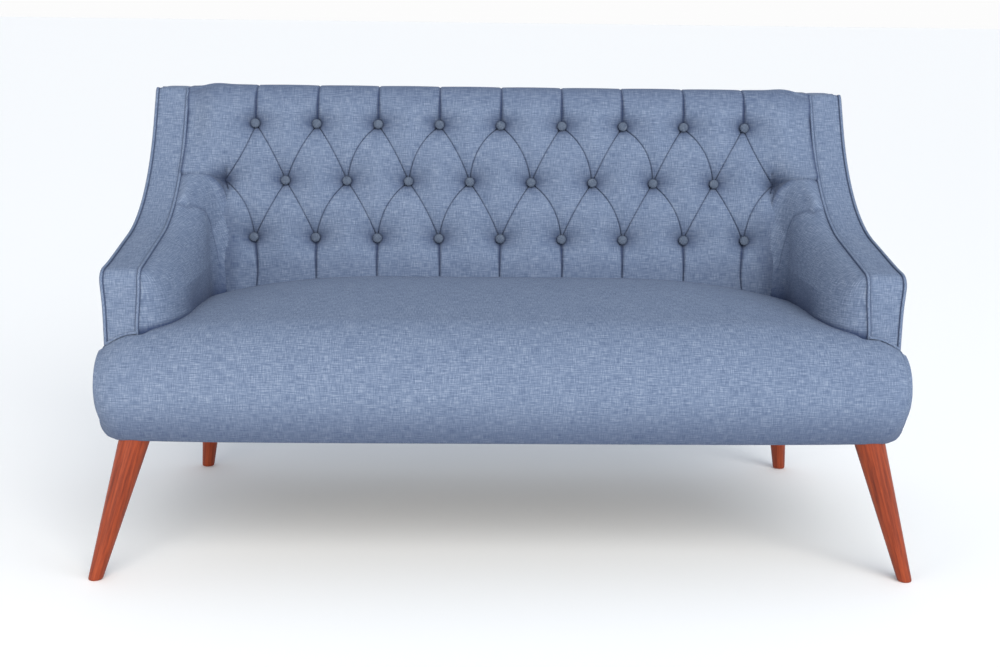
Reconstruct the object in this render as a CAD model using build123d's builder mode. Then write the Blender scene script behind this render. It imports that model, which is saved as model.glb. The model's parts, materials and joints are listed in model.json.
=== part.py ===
from build123d import *
import math
import os

# Two-seater sofa with a button-tufted back, swooping arms and splayed turned legs.
# Millimetres. Origin on the floor under the middle of the sofa, +X to the right of someone
# facing it, +Y towards its back, +Z up.

os.makedirs("parts", exist_ok=True)

# Main levels and depths
leg_height = 243.0
back_top_z = 803.0
seat_front_y = -343.0
back_rear_y = 308.0

# Arm outline in side view: a short front, a gentle slope, a swoop and a leaning wing
arm_front_y = -262.0
arm_front_z = 522.0
arm_slope = math.radians(8.9)
wing_slope = math.radians(61.0)
wing_top_y = 238.0
wing_top_z = 799.0
arm_nose_radius = 22.0
swoop_radius = 370.0
wing_corner_radius = 14.0

# Arm layers, from the outside inwards
arm_outer_x = 673.0
band_width = 65.0
panel_thickness = 2.0
rear_panel_thickness = 3.0
board_thickness = 15.0
band_thickness = 4.0
band_board_thickness = 3.0
welt_radius = 3.0
welt_rise = 0.7
trim_clearance = 0.3

# Seat frame
dust_cover_thickness = 1.5
rail_height = 80.0
rail_thickness = 25.0
frame_front_y = -308.0
front_block_length = 105.0
rear_block_length = 78.0
rear_block_depth = 70.0
block_chamfer = 16.0
stretcher_width = 40.0
stretcher_height = 40.0

# Seat springs
spring_count = 6
spring_spacing = 176.0
spring_wire = 4.0
spring_width = 48.0
spring_bars = 10
clip_thickness = 1.5
clip_length = 24.0
clip_depth = 14.0
clip_slack = 0.4
felt_thickness = 2.4

# Seat padding
seat_overhang = 12.0
seat_crown_z = 455.0
seat_rear_z = 447.0
seat_brow_y = -242.0
seat_brow_z = 441.0
seat_nose_z = 326.0
seat_toe_y = -318.0
seat_side_drop = 50.0
seat_flat_half = 200.0
seat_rear_fall = 70.0
seat_rear_curve = 1.8
seat_brow_fall = 30.0
seat_brow_curve = 5.0
seat_end_radius = 40.0
seat_rear_reach = 170.0
core_end_gap = 0.5
core_knee_x = 330.0
core_top_z = 432.0
core_brow_y = -262.0
core_brow_drop = 75.0
core_front_y = -324.0
core_nose_z = 290.0
core_toe_y = -312.0

# Tufted back
back_recline = math.radians(14.0)
button_row_y = 207.0
button_row_z = 734.0
tuft_pitch = 119.2
tuft_row_drop = 110.8
tuft_columns = 9
tuft_depth = 26.0
pleat_half_width = 3.0
pad_thickness = 20.0
pad_end_x = 545.0
pad_end_rise = 15.0
pad_roll_low = 34.0
pad_roll_mid = 15.0
pad_roll_high = 60.0
pad_top = 72.0
pad_bottom = -330.0
back_foam_thickness = 25.0
tufting_board_thickness = 6.0
back_frame_top = 52.0
back_frame_bottom = -335.0
back_top_rail_height = 40.0
back_bottom_rail_height = 70.0
back_upright_width = 40.0
top_border_lip = 24.0

# Buttons and their ties
button_radius = 9.5
button_height = 6.0
button_taper = 3.5
button_lift = 7.4
tie_width = 3.0
tie_slack = 0.3
washer_width = 16.0
washer_thickness = 3.0

# Arm padding
arm_pad_bulge = 60.0
arm_pad_edge = 8.0
arm_pad_run = 120.0
arm_pad_foot_z = 331.0

# Legs
leg_top_radius = 26.5
leg_foot_radius = 12.3
leg_foot_round = 2.0
leg_flats = 24
front_leg_inset_x = 34.0
front_leg_inset_y = 18.0
front_splay_x = 72.0
front_splay_y = 20.0
rear_leg_inset_x = 28.0
rear_leg_inset_y = 22.5
rear_splay_x = 32.0
rear_splay_y = 51.25
bolt_radius = 4.0
bolt_flats = 12
bolt_in_leg = 40.0
bolt_in_block = 42.0
insert_radius = 6.0
insert_flats = 6
insert_length = 28.0
insert_start = 4.0
bore_clearance = 0.15

# Derived positions
frame_bottom = leg_height + dust_cover_thickness
frame_top = frame_bottom + rail_height
arm_inner_x = arm_outer_x - band_width
outer_board_out = arm_outer_x - panel_thickness
outer_board_in = outer_board_out - board_thickness
inner_board_out = arm_inner_x + board_thickness
board_inset = band_thickness + band_board_thickness
board_rear_y = back_rear_y - rear_panel_thickness
board_front_y = arm_front_y + board_inset
trim_inset = welt_rise + welt_radius + trim_clearance
felt_bottom = frame_top + 2 * clip_thickness + spring_wire + clip_slack
felt_top = felt_bottom + felt_thickness
pad_front = tuft_depth
seat_half_width = arm_outer_x + seat_overhang
core_half_width = outer_board_in + core_end_gap
front_leg_top = (outer_board_in - front_leg_inset_x, frame_front_y + front_leg_inset_y)
front_foot = (front_leg_top[0] + front_splay_x, front_leg_top[1] - front_splay_y)
rear_leg_top = (arm_inner_x - rear_leg_inset_x, board_rear_y - rear_leg_inset_y)
rear_foot = (rear_leg_top[0] + rear_splay_x, rear_leg_top[1] + rear_splay_y)
sides = (("left", -1), ("right", 1))


# Writes one finished piece under its own name
def keep(builder, name):
    builder.part.label = name
    export_step(builder.part, f"parts/{name}.step")


# Point where the line through p at angle a meets the line through q at angle b
def meet(p, a, q, b):
    reach = ((q[0] - p[0]) * math.sin(b) - (q[1] - p[1]) * math.cos(b)) / math.sin(b - a)
    return (p[0] + reach * math.cos(a), p[1] + reach * math.sin(a))


# Points on the arm slope and on the wing edge, moved into the arm by an inset
def arm_lines(inset):
    on_arm = (arm_front_y + inset * math.sin(arm_slope), arm_front_z - inset * math.cos(arm_slope))
    on_wing = (wing_top_y + inset * math.sin(wing_slope), wing_top_z - inset * math.cos(wing_slope))
    return on_arm, on_wing


# Corners of the arm outline: front foot, nose, swoop, crest, heel, rear foot
def arm_corners(inset, bottom, rear_y):
    on_arm, on_wing = arm_lines(inset)
    front_y = arm_front_y + inset
    top_z = wing_top_z - inset
    nose = meet((front_y, 0), math.pi / 2, on_arm, arm_slope)
    dip = meet(on_arm, arm_slope, on_wing, wing_slope)
    crest = meet(on_wing, wing_slope, (0, top_z), 0)
    return [(front_y, bottom), nose, dip, crest, (rear_y, top_z), (rear_y, bottom)]


def arm_radii(inset):
    return [arm_nose_radius - inset, swoop_radius + inset, wing_corner_radius - inset]


# Height of the arm outline above a depth y
def arm_top(y, inset):
    on_arm, on_wing = arm_lines(inset)
    radius = swoop_radius + inset
    lifted_arm = (on_arm[0] - radius * math.sin(arm_slope), on_arm[1] + radius * math.cos(arm_slope))
    lifted_wing = (on_wing[0] - radius * math.sin(wing_slope), on_wing[1] + radius * math.cos(wing_slope))
    centre = meet(lifted_arm, arm_slope, lifted_wing, wing_slope)
    nose_radius = arm_nose_radius - inset
    nose_y = arm_front_y + inset + nose_radius
    slope_z = on_arm[1] + (y - on_arm[0]) * math.tan(arm_slope)
    if y < nose_y:
        fall = nose_radius - math.sqrt(max(0.0, nose_radius ** 2 - (nose_y - y) ** 2))
        return slope_z - fall
    if y < centre[0] + radius * math.sin(arm_slope):
        return slope_z
    if y < centre[0] + radius * math.sin(wing_slope):
        return centre[1] - math.sqrt(radius ** 2 - (y - centre[0]) ** 2)
    return on_wing[1] + (y - on_wing[0]) * math.tan(wing_slope)


# Planes of the leaning back: one facing the sitter, one across it
tuft_face = Plane(
    origin=(0, button_row_y, button_row_z),
    x_dir=(1, 0, 0),
    z_dir=(0, -math.cos(back_recline), math.sin(back_recline)),
)
tuft_level = Plane(
    origin=(0, button_row_y, button_row_z),
    x_dir=(1, 0, 0),
    z_dir=(0, math.sin(back_recline), math.cos(back_recline)),
)


# Side-view point of the leaning back, from its depth behind the buttons and its height up the slope
def back_point(depth, height):
    y = button_row_y + depth * math.cos(back_recline) + height * math.sin(back_recline)
    z = button_row_z - depth * math.sin(back_recline) + height * math.cos(back_recline)
    return (y, z)


# Solid cut to the arm outline between two positions across the sofa
def arm_plate(sign, x_in, x_out, inset, bottom, rear_y):
    corners = arm_corners(inset, bottom, rear_y)
    with BuildPart() as plate:
        with BuildSketch(Plane.YZ.offset(min(sign * x_in, sign * x_out))):
            with BuildLine():
                FilletPolyline(*corners, radius=arm_radii(inset) + [wing_corner_radius - inset])
                Line(corners[-1], corners[0])
            make_face()
        extrude(amount=x_out - x_in)
    return plate


# Strip that follows the front, top and wing of the arm between two insets
def arm_strip(sign, x_in, x_out, inset, inner_inset, bottom):
    outer = arm_corners(inset, bottom, back_rear_y)[:-1]
    inner = arm_corners(inner_inset, bottom, back_rear_y)[:-1]
    with BuildPart() as strip:
        with BuildSketch(Plane.YZ.offset(min(sign * x_in, sign * x_out))):
            with BuildLine():
                FilletPolyline(*outer, radius=arm_radii(inset))
                Line(outer[-1], inner[-1])
                FilletPolyline(*inner, radius=arm_radii(inner_inset))
                Line(inner[0], outer[0])
            make_face()
        extrude(amount=x_out - x_in)
    return strip


# Piping along one edge of the arm band
def arm_welt(x, bottom):
    corners = arm_corners(welt_rise, bottom, back_rear_y)[:-1]
    with BuildPart() as welt:
        with BuildLine(Plane.YZ.offset(x)) as path:
            FilletPolyline(*corners, radius=arm_radii(welt_rise))
        with BuildSketch(Plane(origin=path.line @ 0, x_dir=(1, 0, 0), z_dir=path.line % 0)):
            RegularPolygon(radius=welt_radius, side_count=6)
        sweep()
    return welt


# Arm padding: rounded over its top edge, bulging into the seat, cut off along the tufted back
def arm_pad(sign, grow, skirt):
    front_y = arm_front_y + trim_inset
    foot_z = arm_pad_foot_z
    steps = (0.0, 0.2, 1.0, 2.2, 2.9, 3.5)
    with BuildPart() as pad:
        for step in steps:
            y = front_y + step * arm_pad_run
            near = min(step, 1.0)
            swell = math.sqrt(1.0 - (1.0 - near) ** 2)
            bulge = arm_pad_edge + (arm_pad_bulge - arm_pad_edge) * swell + grow
            top_z = arm_top(y, trim_inset) + grow
            round_z = top_z - bulge
            bend = bulge * math.sqrt(0.5)
            inner_x = arm_inner_x - bulge
            at_y = y - grow if step == 0.0 else y
            with BuildSketch(Plane.XZ.offset(-at_y)):
                with BuildLine():
                    Line((sign * arm_inner_x, foot_z - skirt), (sign * arm_inner_x, top_z))
                    ThreePointArc(
                        (sign * arm_inner_x, top_z),
                        (sign * (arm_inner_x - bend), round_z + bend),
                        (sign * inner_x, round_z),
                    )
                    Line((sign * inner_x, round_z), (sign * inner_x, foot_z - skirt))
                    Line((sign * inner_x, foot_z - skirt), (sign * arm_inner_x, foot_z - skirt))
                make_face()
        loft(ruled=True)
        split(bisect_by=tuft_face.offset(pad_front + trim_clearance - grow), keep=Keep.TOP)
    return pad


# Side-view points of the seat at a position across it: rear, crown, brow, nose, toe, heel
def seat_section(x):
    radius = seat_end_radius
    edge = min(seat_half_width - x, radius)
    draw = radius - math.sqrt(radius ** 2 - (radius - edge) ** 2)
    out = (x - seat_flat_half) / (seat_half_width - seat_flat_half)
    rear_fall = seat_rear_fall * out ** seat_rear_curve + draw
    brow_fall = seat_brow_fall * out ** seat_brow_curve + draw
    return (
        (seat_rear_reach, seat_rear_z - rear_fall),
        ((seat_rear_reach + seat_brow_y) / 2, seat_crown_z - (rear_fall + brow_fall) / 2),
        (seat_brow_y + draw / 2, seat_brow_z - brow_fall),
        (seat_front_y + draw, seat_nose_z - draw / 4),
        (seat_toe_y + draw, leg_height + draw),
        (seat_rear_reach, leg_height + draw),
    )


# Seat form: level in the middle, then falling to rounded, drawn-in ends, with a fat front roll
def seat_form():
    full_x = seat_half_width - seat_end_radius
    stations = [seat_flat_half + (full_x - seat_flat_half) * i / 3 for i in range(4)]
    stations += [seat_half_width - 0.3 * seat_end_radius, seat_half_width]
    with BuildPart() as form:
        for sign in (-1, 1):
            for x in stations:
                rear, crown, brow, nose, toe, heel = seat_section(x)
                with BuildSketch(Plane.YZ.offset(sign * x)):
                    with BuildLine():
                        ThreePointArc(rear, crown, brow)
                        ThreePointArc(brow, nose, toe)
                        Line(toe, heel)
                        Line(heel, rear)
                    make_face()
            loft(ruled=True)
        middle = form.faces().filter_by(Axis.X).sort_by(Axis.X)[1]
        extrude(to_extrude=middle, amount=2 * seat_flat_half)
    return form


# Flat-sided core of the seat, crowned across: what the padded cover is drawn over
def seat_core(grow, skirt):
    half = core_half_width + grow
    with BuildPart() as core:
        for x in (-half, -core_knee_x, 0.0, core_knee_x, half):
            fall = seat_side_drop * (x / seat_half_width) ** 2
            top_z = core_top_z - fall + grow
            brow_z = top_z - core_brow_drop
            foot_z = leg_height - skirt
            with BuildSketch(Plane.YZ.offset(x)):
                with BuildLine():
                    Polyline(
                        (seat_rear_reach, top_z),
                        (core_brow_y - grow, top_z),
                        (core_front_y - grow, brow_z),
                        (core_front_y - grow, core_nose_z),
                        (core_toe_y - grow, foot_z),
                        (seat_rear_reach, foot_z),
                        close=True,
                    )
                make_face()
        loft(ruled=True)
    return core


# Cuts a seat layer free of the arms and of the tufted back
def seat_layer(form, pad_gap, back_gap, bottom):
    arm_cut_width = 2 * (seat_half_width - arm_inner_x)
    arm_cut_front = arm_front_y - welt_radius + welt_rise - trim_clearance
    with BuildPart() as layer:
        add(form.part)
        for side, sign in sides:
            with BuildSketch(Plane.XY.offset(bottom)):
                with Locations((sign * (arm_inner_x - trim_clearance + arm_cut_width / 2), arm_cut_front)):
                    Rectangle(arm_cut_width, back_rear_y - arm_cut_front, align=(Align.CENTER, Align.MIN))
            extrude(amount=back_top_z - bottom, mode=Mode.SUBTRACT)
            add(arm_pad(sign, pad_gap, arm_pad_foot_z - bottom).part, mode=Mode.SUBTRACT)
        split(bisect_by=tuft_face.offset(pad_front + back_gap), keep=Keep.TOP)
    return layer


# Seat rails and centre stretcher
rail_half_length = outer_board_in - front_block_length
with BuildPart() as front_seat_rail:
    with BuildSketch(Plane.XY.offset(frame_bottom)):
        with Locations((0, frame_front_y + rail_thickness / 2)):
            Rectangle(2 * rail_half_length, rail_thickness)
    extrude(amount=rail_height)
keep(front_seat_rail, "front_seat_rail")

rear_block_in = arm_inner_x - rear_block_length
with BuildPart() as rear_seat_rail:
    with BuildSketch(Plane.XY.offset(frame_bottom)):
        with Locations((0, board_rear_y - rail_thickness / 2)):
            Rectangle(2 * rear_block_in, rail_thickness)
    extrude(amount=rail_height)
keep(rear_seat_rail, "rear_seat_rail")

stretcher_front = frame_front_y + rail_thickness
stretcher_rear = board_rear_y - rail_thickness
with BuildPart() as centre_stretcher:
    with BuildSketch(Plane.XY.offset(frame_bottom)):
        with Locations((0, (stretcher_front + stretcher_rear) / 2)):
            Rectangle(stretcher_width, stretcher_rear - stretcher_front)
    extrude(amount=stretcher_height)
keep(centre_stretcher, "centre_stretcher")

for side, sign in sides:
    with BuildPart() as side_seat_rail:
        with BuildSketch(Plane.XY.offset(frame_bottom)):
            with Locations((sign * (inner_board_out + outer_board_in) / 2, (board_front_y + board_rear_y) / 2)):
                Rectangle(outer_board_in - inner_board_out, board_rear_y - board_front_y)
        extrude(amount=rail_height)
    keep(side_seat_rail, f"{side}_seat_rail")

# Legs, their bolts and inserts, and the corner blocks they screw into
leg_sets = []
for side, sign in sides:
    leg_sets.append((f"front_{side}", sign, front_foot, front_leg_top))
    leg_sets.append((f"rear_{side}", sign, rear_foot, rear_leg_top))


# Plane at the top of a leg, its normal up along the leaning leg
def leg_plane(sign, foot, top):
    lean = Vector(sign * (top[0] - foot[0]), top[1] - foot[1], leg_height)
    return Plane(origin=(sign * top[0], top[1], leg_height), x_dir=(sign * leg_height, 0, -lean.X * sign), z_dir=lean)


for name, sign, foot, top in leg_sets:
    axis = leg_plane(sign, foot, top)
    length = math.dist((foot[0], foot[1], 0), (top[0], top[1], leg_height))
    taper = (leg_top_radius - leg_foot_radius) / length
    spare = 20.0
    with BuildPart() as leg:
        with BuildSketch(axis.offset(-length - spare)):
            Rectangle(3 * leg_top_radius, 3 * leg_top_radius)
        extrude(amount=length + 2 * spare)
        for i in range(leg_flats):
            turn = 2 * math.pi * i / leg_flats
            outward = axis.x_dir * math.cos(turn) + axis.y_dir * math.sin(turn)
            flat = Plane(origin=axis.origin + outward * leg_top_radius, z_dir=outward - axis.z_dir * taper)
            split(bisect_by=flat, keep=Keep.BOTTOM)
        split(bisect_by=Plane.XY.offset(leg_height), keep=Keep.BOTTOM)
        split(bisect_by=Plane.XY, keep=Keep.TOP)
        with BuildSketch(axis.offset(-bolt_in_leg)):
            RegularPolygon(radius=bolt_radius + bore_clearance, side_count=bolt_flats)
        extrude(amount=bolt_in_leg + spare, mode=Mode.SUBTRACT)
        chamfer(leg.faces().sort_by(Axis.Z)[0].edges(), leg_foot_round)
    keep(leg, f"{name}_leg")

    with BuildPart() as corner_block:
        if name.startswith("front"):
            x_in, x_out = outer_board_in - front_block_length, outer_board_in
            y_in, y_out = frame_front_y, board_front_y
        else:
            x_in, x_out = arm_inner_x - rear_block_length, arm_inner_x
            y_in, y_out = board_rear_y - rear_block_depth, board_rear_y
        with BuildSketch(Plane.XY.offset(frame_bottom)):
            with Locations((sign * (x_in + x_out) / 2, (y_in + y_out) / 2)):
                Rectangle(x_out - x_in, y_out - y_in)
        extrude(amount=rail_height)
        if name.startswith("front"):
            outer_edges = corner_block.edges().filter_by(Axis.Y).group_by(Axis.Z)[0].sort_by(Axis.X)
            chamfer(outer_edges[-1 if sign > 0 else 0], block_chamfer)
        with BuildSketch(axis.offset(-spare)):
            RegularPolygon(radius=insert_radius + bore_clearance, side_count=insert_flats)
        extrude(amount=spare + bolt_in_block + 2, mode=Mode.SUBTRACT)
    keep(corner_block, f"{name}_corner_block")

with BuildPart() as leg_bolts:
    for name, sign, foot, top in leg_sets:
        with BuildSketch(leg_plane(sign, foot, top).offset(-bolt_in_leg)):
            RegularPolygon(radius=bolt_radius, side_count=bolt_flats)
        extrude(amount=bolt_in_leg + bolt_in_block)
keep(leg_bolts, "leg_hanger_bolts")

with BuildPart() as leg_inserts:
    for name, sign, foot, top in leg_sets:
        with BuildSketch(leg_plane(sign, foot, top).offset(insert_start)):
            RegularPolygon(radius=insert_radius, side_count=insert_flats)
            RegularPolygon(radius=bolt_radius + bore_clearance, side_count=bolt_flats, mode=Mode.SUBTRACT)
        extrude(amount=insert_length)
keep(leg_inserts, "leg_insert_nuts")

# Dust cover under the frame, cut away round the leg bolts
with BuildPart() as dust_cover:
    with BuildSketch(Plane.XY.offset(leg_height)):
        with Locations((0, (frame_front_y + board_front_y) / 2)):
            Rectangle(2 * (outer_board_in - block_chamfer), board_front_y - frame_front_y)
        with Locations((0, (board_front_y + board_rear_y) / 2)):
            Rectangle(2 * outer_board_out, board_rear_y - board_front_y)
        for name, sign, foot, top in leg_sets:
            with Locations((sign * top[0], top[1])):
                RegularPolygon(radius=insert_radius + 6, side_count=8, mode=Mode.SUBTRACT)
    extrude(amount=dust_cover_thickness)
keep(dust_cover, "dust_cover")

# Zigzag seat springs and the clips that hold their ends on the rails
spring_front_y = frame_front_y + 12.0
spring_rear_y = board_rear_y - 16.0
spring_step = (spring_rear_y - spring_front_y) / (spring_bars - 1)
spring_reach = spring_width / 2
wire_bottom = frame_top + clip_thickness
spring_places = [(i - (spring_count - 1) / 2) * spring_spacing for i in range(spring_count)]


# Corner points of one zigzag
def spring_points():
    points = []
    for i in range(spring_bars):
        y = spring_front_y + i * spring_step
        way = 1 if i % 2 == 0 else -1
        points.append((-way * spring_reach, y))
        points.append((way * spring_reach, y))
    return points


for i, place in enumerate(spring_places):
    with BuildPart() as seat_spring:
        with BuildSketch(Plane.XY.offset(wire_bottom)):
            with BuildLine():
                Polyline(*[(place + x, y) for x, y in spring_points()])
            trace(line_width=spring_wire)
        extrude(amount=spring_wire)
    keep(seat_spring, f"seat_spring_{i + 1}")

clip_height = 2 * clip_thickness + spring_wire + clip_slack
with BuildPart() as spring_clips:
    for place in spring_places:
        for way, bar_y in ((1, spring_front_y), (-1, spring_rear_y)):
            back_y = bar_y - way * (spring_wire / 2 + clip_slack)
            closed_y = back_y - way * clip_thickness
            open_y = closed_y + way * clip_depth
            low = frame_top + clip_thickness
            high = low + spring_wire + clip_slack
            with BuildSketch(Plane.YZ.offset(place - clip_length / 2)):
                with BuildLine():
                    Polyline(
                        (open_y, frame_top),
                        (closed_y, frame_top),
                        (closed_y, frame_top + clip_height),
                        (open_y, frame_top + clip_height),
                        (open_y, high),
                        (back_y, high),
                        (back_y, low),
                        (open_y, low),
                        close=True,
                    )
                make_face()
            extrude(amount=clip_length)
keep(spring_clips, "spring_clips")

felt_half = arm_inner_x - arm_pad_bulge - 8.0
felt_front_y = frame_front_y + 6.0
felt_rear_y = 84.0
with BuildPart() as spring_felt:
    with BuildSketch(Plane.XY.offset(felt_bottom)):
        with Locations((0, (felt_front_y + felt_rear_y) / 2)):
            Rectangle(2 * felt_half, felt_rear_y - felt_front_y)
    extrude(amount=felt_thickness)
keep(spring_felt, "spring_felt")

# Seat foam, its front edge roll, and the padded seat cover drawn over both
with BuildPart() as seat_foam:
    add(seat_layer(seat_core(0, 0), 3.0, 3.0, leg_height).part)
    split(bisect_by=Plane.XY.offset(felt_top), keep=Keep.TOP)
keep(seat_foam, "seat_foam")

with BuildPart() as seat_edge_roll:
    add(seat_core(0, 0).part)
    split(bisect_by=Plane.XZ.offset(-frame_front_y), keep=Keep.TOP)
    split(bisect_by=Plane.XY.offset(felt_top), keep=Keep.BOTTOM)
    split(bisect_by=Plane.XY.offset(frame_bottom), keep=Keep.TOP)
keep(seat_edge_roll, "seat_edge_roll")

with BuildPart() as seat_cover:
    add(seat_layer(seat_form(), trim_clearance, trim_clearance, leg_height).part)
    add(seat_core(trim_clearance, 60).part, mode=Mode.SUBTRACT)
keep(seat_cover, "seat_cover")

# Arms: boards, posts between them, bent band board, padding, band, piping and outside panel
window_y = -60.0
window_z = 405.0
window_length = 240.0
window_height = 100.0
window_corner = 25.0
post_depth = 40.0
block_front_y = -60.0
block_length = 70.0
block_height = 50.0
for side, sign in sides:
    for layer, x_in, x_out in (
        ("outer", outer_board_in, outer_board_out),
        ("inner", arm_inner_x, inner_board_out),
    ):
        with BuildPart() as arm_board:
            add(arm_plate(sign, x_in, x_out, board_inset, frame_bottom, board_rear_y).part)
            with BuildSketch(Plane.YZ.offset(min(sign * x_in, sign * x_out))) as window:
                with Locations((window_y, window_z)):
                    Rectangle(window_length, window_height)
                chamfer(window.vertices(), window_corner)
            extrude(amount=board_thickness, mode=Mode.SUBTRACT)
        keep(arm_board, f"{side}_arm_{layer}_board")

    post_top = arm_front_z - board_inset - arm_nose_radius
    rear_post_top = wing_top_z - board_inset - wing_corner_radius
    block_top = arm_top(block_front_y, board_inset)
    with BuildPart() as arm_posts:
        for y_low, y_high, z_low, z_high in (
            (board_front_y, board_front_y + post_depth, frame_top, post_top),
            (block_front_y, block_front_y + block_length, block_top - block_height, block_top),
            (board_rear_y - post_depth, board_rear_y, frame_top, rear_post_top),
        ):
            with BuildSketch(Plane.YZ.offset(min(sign * inner_board_out, sign * outer_board_in))):
                with Locations(((y_low + y_high) / 2, (z_low + z_high) / 2)):
                    Rectangle(y_high - y_low, z_high - z_low)
            extrude(amount=outer_board_in - inner_board_out)
    keep(arm_posts, f"{side}_arm_posts")

    band_board = arm_strip(sign, arm_inner_x, outer_board_out, band_thickness, board_inset, frame_top)
    keep(band_board, f"{side}_arm_band_board")

    welt_width = 2 * welt_radius + trim_clearance
    band = arm_strip(sign, arm_inner_x + welt_width, arm_outer_x - welt_width, 0, band_thickness, frame_top)
    keep(band, f"{side}_arm_band")

    keep(arm_welt(sign * (arm_inner_x + welt_radius), frame_top), f"{side}_inner_welt")
    keep(arm_welt(sign * (arm_outer_x - welt_radius), leg_height), f"{side}_outer_welt")

    panel = arm_plate(sign, outer_board_out, arm_outer_x, trim_inset, leg_height, back_rear_y)
    keep(panel, f"{side}_outside_arm_panel")

    keep(arm_pad(sign, 0, 0), f"{side}_arm_pad")

# Outside back panel, over the rear edges of the arm boards
rear_panel_top = wing_top_z - board_inset - trim_clearance
with BuildPart() as outside_back_panel:
    with BuildSketch(Plane.XZ.offset(-back_rear_y)):
        with Locations((0, (leg_height + rear_panel_top) / 2)):
            Rectangle(2 * outer_board_out, rear_panel_top - leg_height)
    extrude(amount=rear_panel_thickness)
keep(outside_back_panel, "outside_back_panel")

# Button places, as positions across and up the leaning back
button_places = []
for row in range(3):
    count = tuft_columns if row % 2 == 0 else tuft_columns - 1
    for i in range(count):
        button_places.append(((i - (count - 1) / 2) * tuft_pitch, -row * tuft_row_drop))

# Tufted back pad: two sets of ridges cross on the slant and leave a puff in every diamond, with
# pleats between the buttons, and upright flutes above the top row and below the bottom row
pad_half = arm_inner_x - trim_clearance
ridge_angle = math.atan2(tuft_row_drop, tuft_pitch / 2)
ridge_spacing = tuft_pitch * math.sin(ridge_angle)
ridge_count = 7
ridge_reach = 900.0


# Plane across one set of ridges
def ridge_plane(way):
    along = tuft_face.x_dir * (way * math.cos(ridge_angle)) + tuft_face.y_dir * math.sin(ridge_angle)
    across = tuft_face.y_dir * (way * math.cos(ridge_angle)) - tuft_face.x_dir * math.sin(ridge_angle)
    return Plane(origin=tuft_face.origin, x_dir=across, z_dir=along)


field_height = 2 * tuft_row_drop
ridge_end = ridge_count * ridge_spacing
with BuildPart() as tufted_back_pad:
    for way, mode in ((1, Mode.ADD), (-1, Mode.INTERSECT)):
        with BuildSketch(ridge_plane(way)):
            with BuildLine():
                at = -ridge_end
                for i in range(2 * ridge_count):
                    low = -ridge_end + i * ridge_spacing + pleat_half_width
                    high = low + ridge_spacing - 2 * pleat_half_width
                    Line((at, 0), (low, 0))
                    ThreePointArc((low, 0), ((low + high) / 2, tuft_depth), (high, 0))
                    at = high
                Polyline((at, 0), (ridge_end, 0), (ridge_end, -pad_thickness))
                Polyline((ridge_end, -pad_thickness), (-ridge_end, -pad_thickness), (-ridge_end, 0))
            make_face()
        extrude(amount=ridge_reach, both=True, mode=mode)
    with BuildSketch(tuft_face.offset(-pad_thickness)):
        with Locations((0, -field_height / 2)):
            Rectangle(2 * pad_half, field_height)
    extrude(amount=pad_thickness + tuft_depth + 1, mode=Mode.INTERSECT)
    up_slope = Axis(tuft_face.origin, tuft_face.y_dir)
    level_faces = tufted_back_pad.faces().filter_by(tuft_level).sort_by(up_slope)
    extrude(to_extrude=level_faces[-1], amount=pad_top)
    extrude(to_extrude=level_faces[0], amount=-pad_bottom - field_height)
    with BuildSketch(tuft_face.offset(-pad_thickness)):
        for side, sign in sides:
            with Locations((sign * (pad_end_x + pad_half) / 2, (pad_top + pad_bottom) / 2)):
                Rectangle(pad_half - pad_end_x, pad_top - pad_bottom)
    extrude(amount=pad_thickness + pad_end_rise)
    with BuildSketch(Plane.YZ.offset(-pad_half)):
        with BuildLine():
            Polyline(
                back_point(-tuft_depth, pad_roll_low),
                back_point(-pad_roll_mid, pad_roll_high),
                back_point(0, pad_top),
                back_point(-tuft_depth, pad_top),
                close=True,
            )
        make_face()
    extrude(amount=2 * pad_half, mode=Mode.SUBTRACT)
    with BuildSketch(tuft_face.offset(-pad_thickness)):
        with Locations(*button_places):
            Rectangle(tie_width + tie_slack, tie_width + tie_slack)
    extrude(amount=pad_thickness + tuft_depth, mode=Mode.SUBTRACT)
keep(tufted_back_pad, "tufted_back_pad")

# Back foam and tufting board, pierced for the button ties
foam_depth = pad_thickness + back_foam_thickness
board_depth = foam_depth + tufting_board_thickness
frame_middle = (back_frame_top + back_frame_bottom) / 2
frame_length = back_frame_top - back_frame_bottom
with BuildPart() as back_foam:
    with BuildSketch(tuft_face.offset(-foam_depth)):
        with Locations((0, frame_middle)):
            Rectangle(2 * pad_half, frame_length)
        with Locations(*button_places):
            Rectangle(tie_width + tie_slack, tie_width + tie_slack, mode=Mode.SUBTRACT)
    extrude(amount=back_foam_thickness)
keep(back_foam, "back_foam")

with BuildPart() as tufting_board:
    with BuildSketch(tuft_face.offset(-board_depth)):
        with Locations((0, frame_middle)):
            Rectangle(2 * arm_inner_x, frame_length)
        with Locations(*button_places):
            Rectangle(tie_width + tie_slack, tie_width + tie_slack, mode=Mode.SUBTRACT)
    extrude(amount=tufting_board_thickness)
keep(tufting_board, "tufting_board")

# Back rails and uprights behind the tufting board
rail_depth = board_depth + rail_thickness
with BuildPart() as back_top_rail:
    with BuildSketch(tuft_face.offset(-rail_depth)):
        with Locations((0, back_frame_top - back_top_rail_height / 2)):
            Rectangle(2 * arm_inner_x, back_top_rail_height)
    extrude(amount=rail_thickness)
keep(back_top_rail, "back_top_rail")

with BuildPart() as back_bottom_rail:
    with BuildSketch(tuft_face.offset(-rail_depth)):
        with Locations((0, back_frame_bottom + back_bottom_rail_height / 2)):
            Rectangle(2 * arm_inner_x, back_bottom_rail_height)
    extrude(amount=rail_thickness)
keep(back_bottom_rail, "back_bottom_rail")

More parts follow.
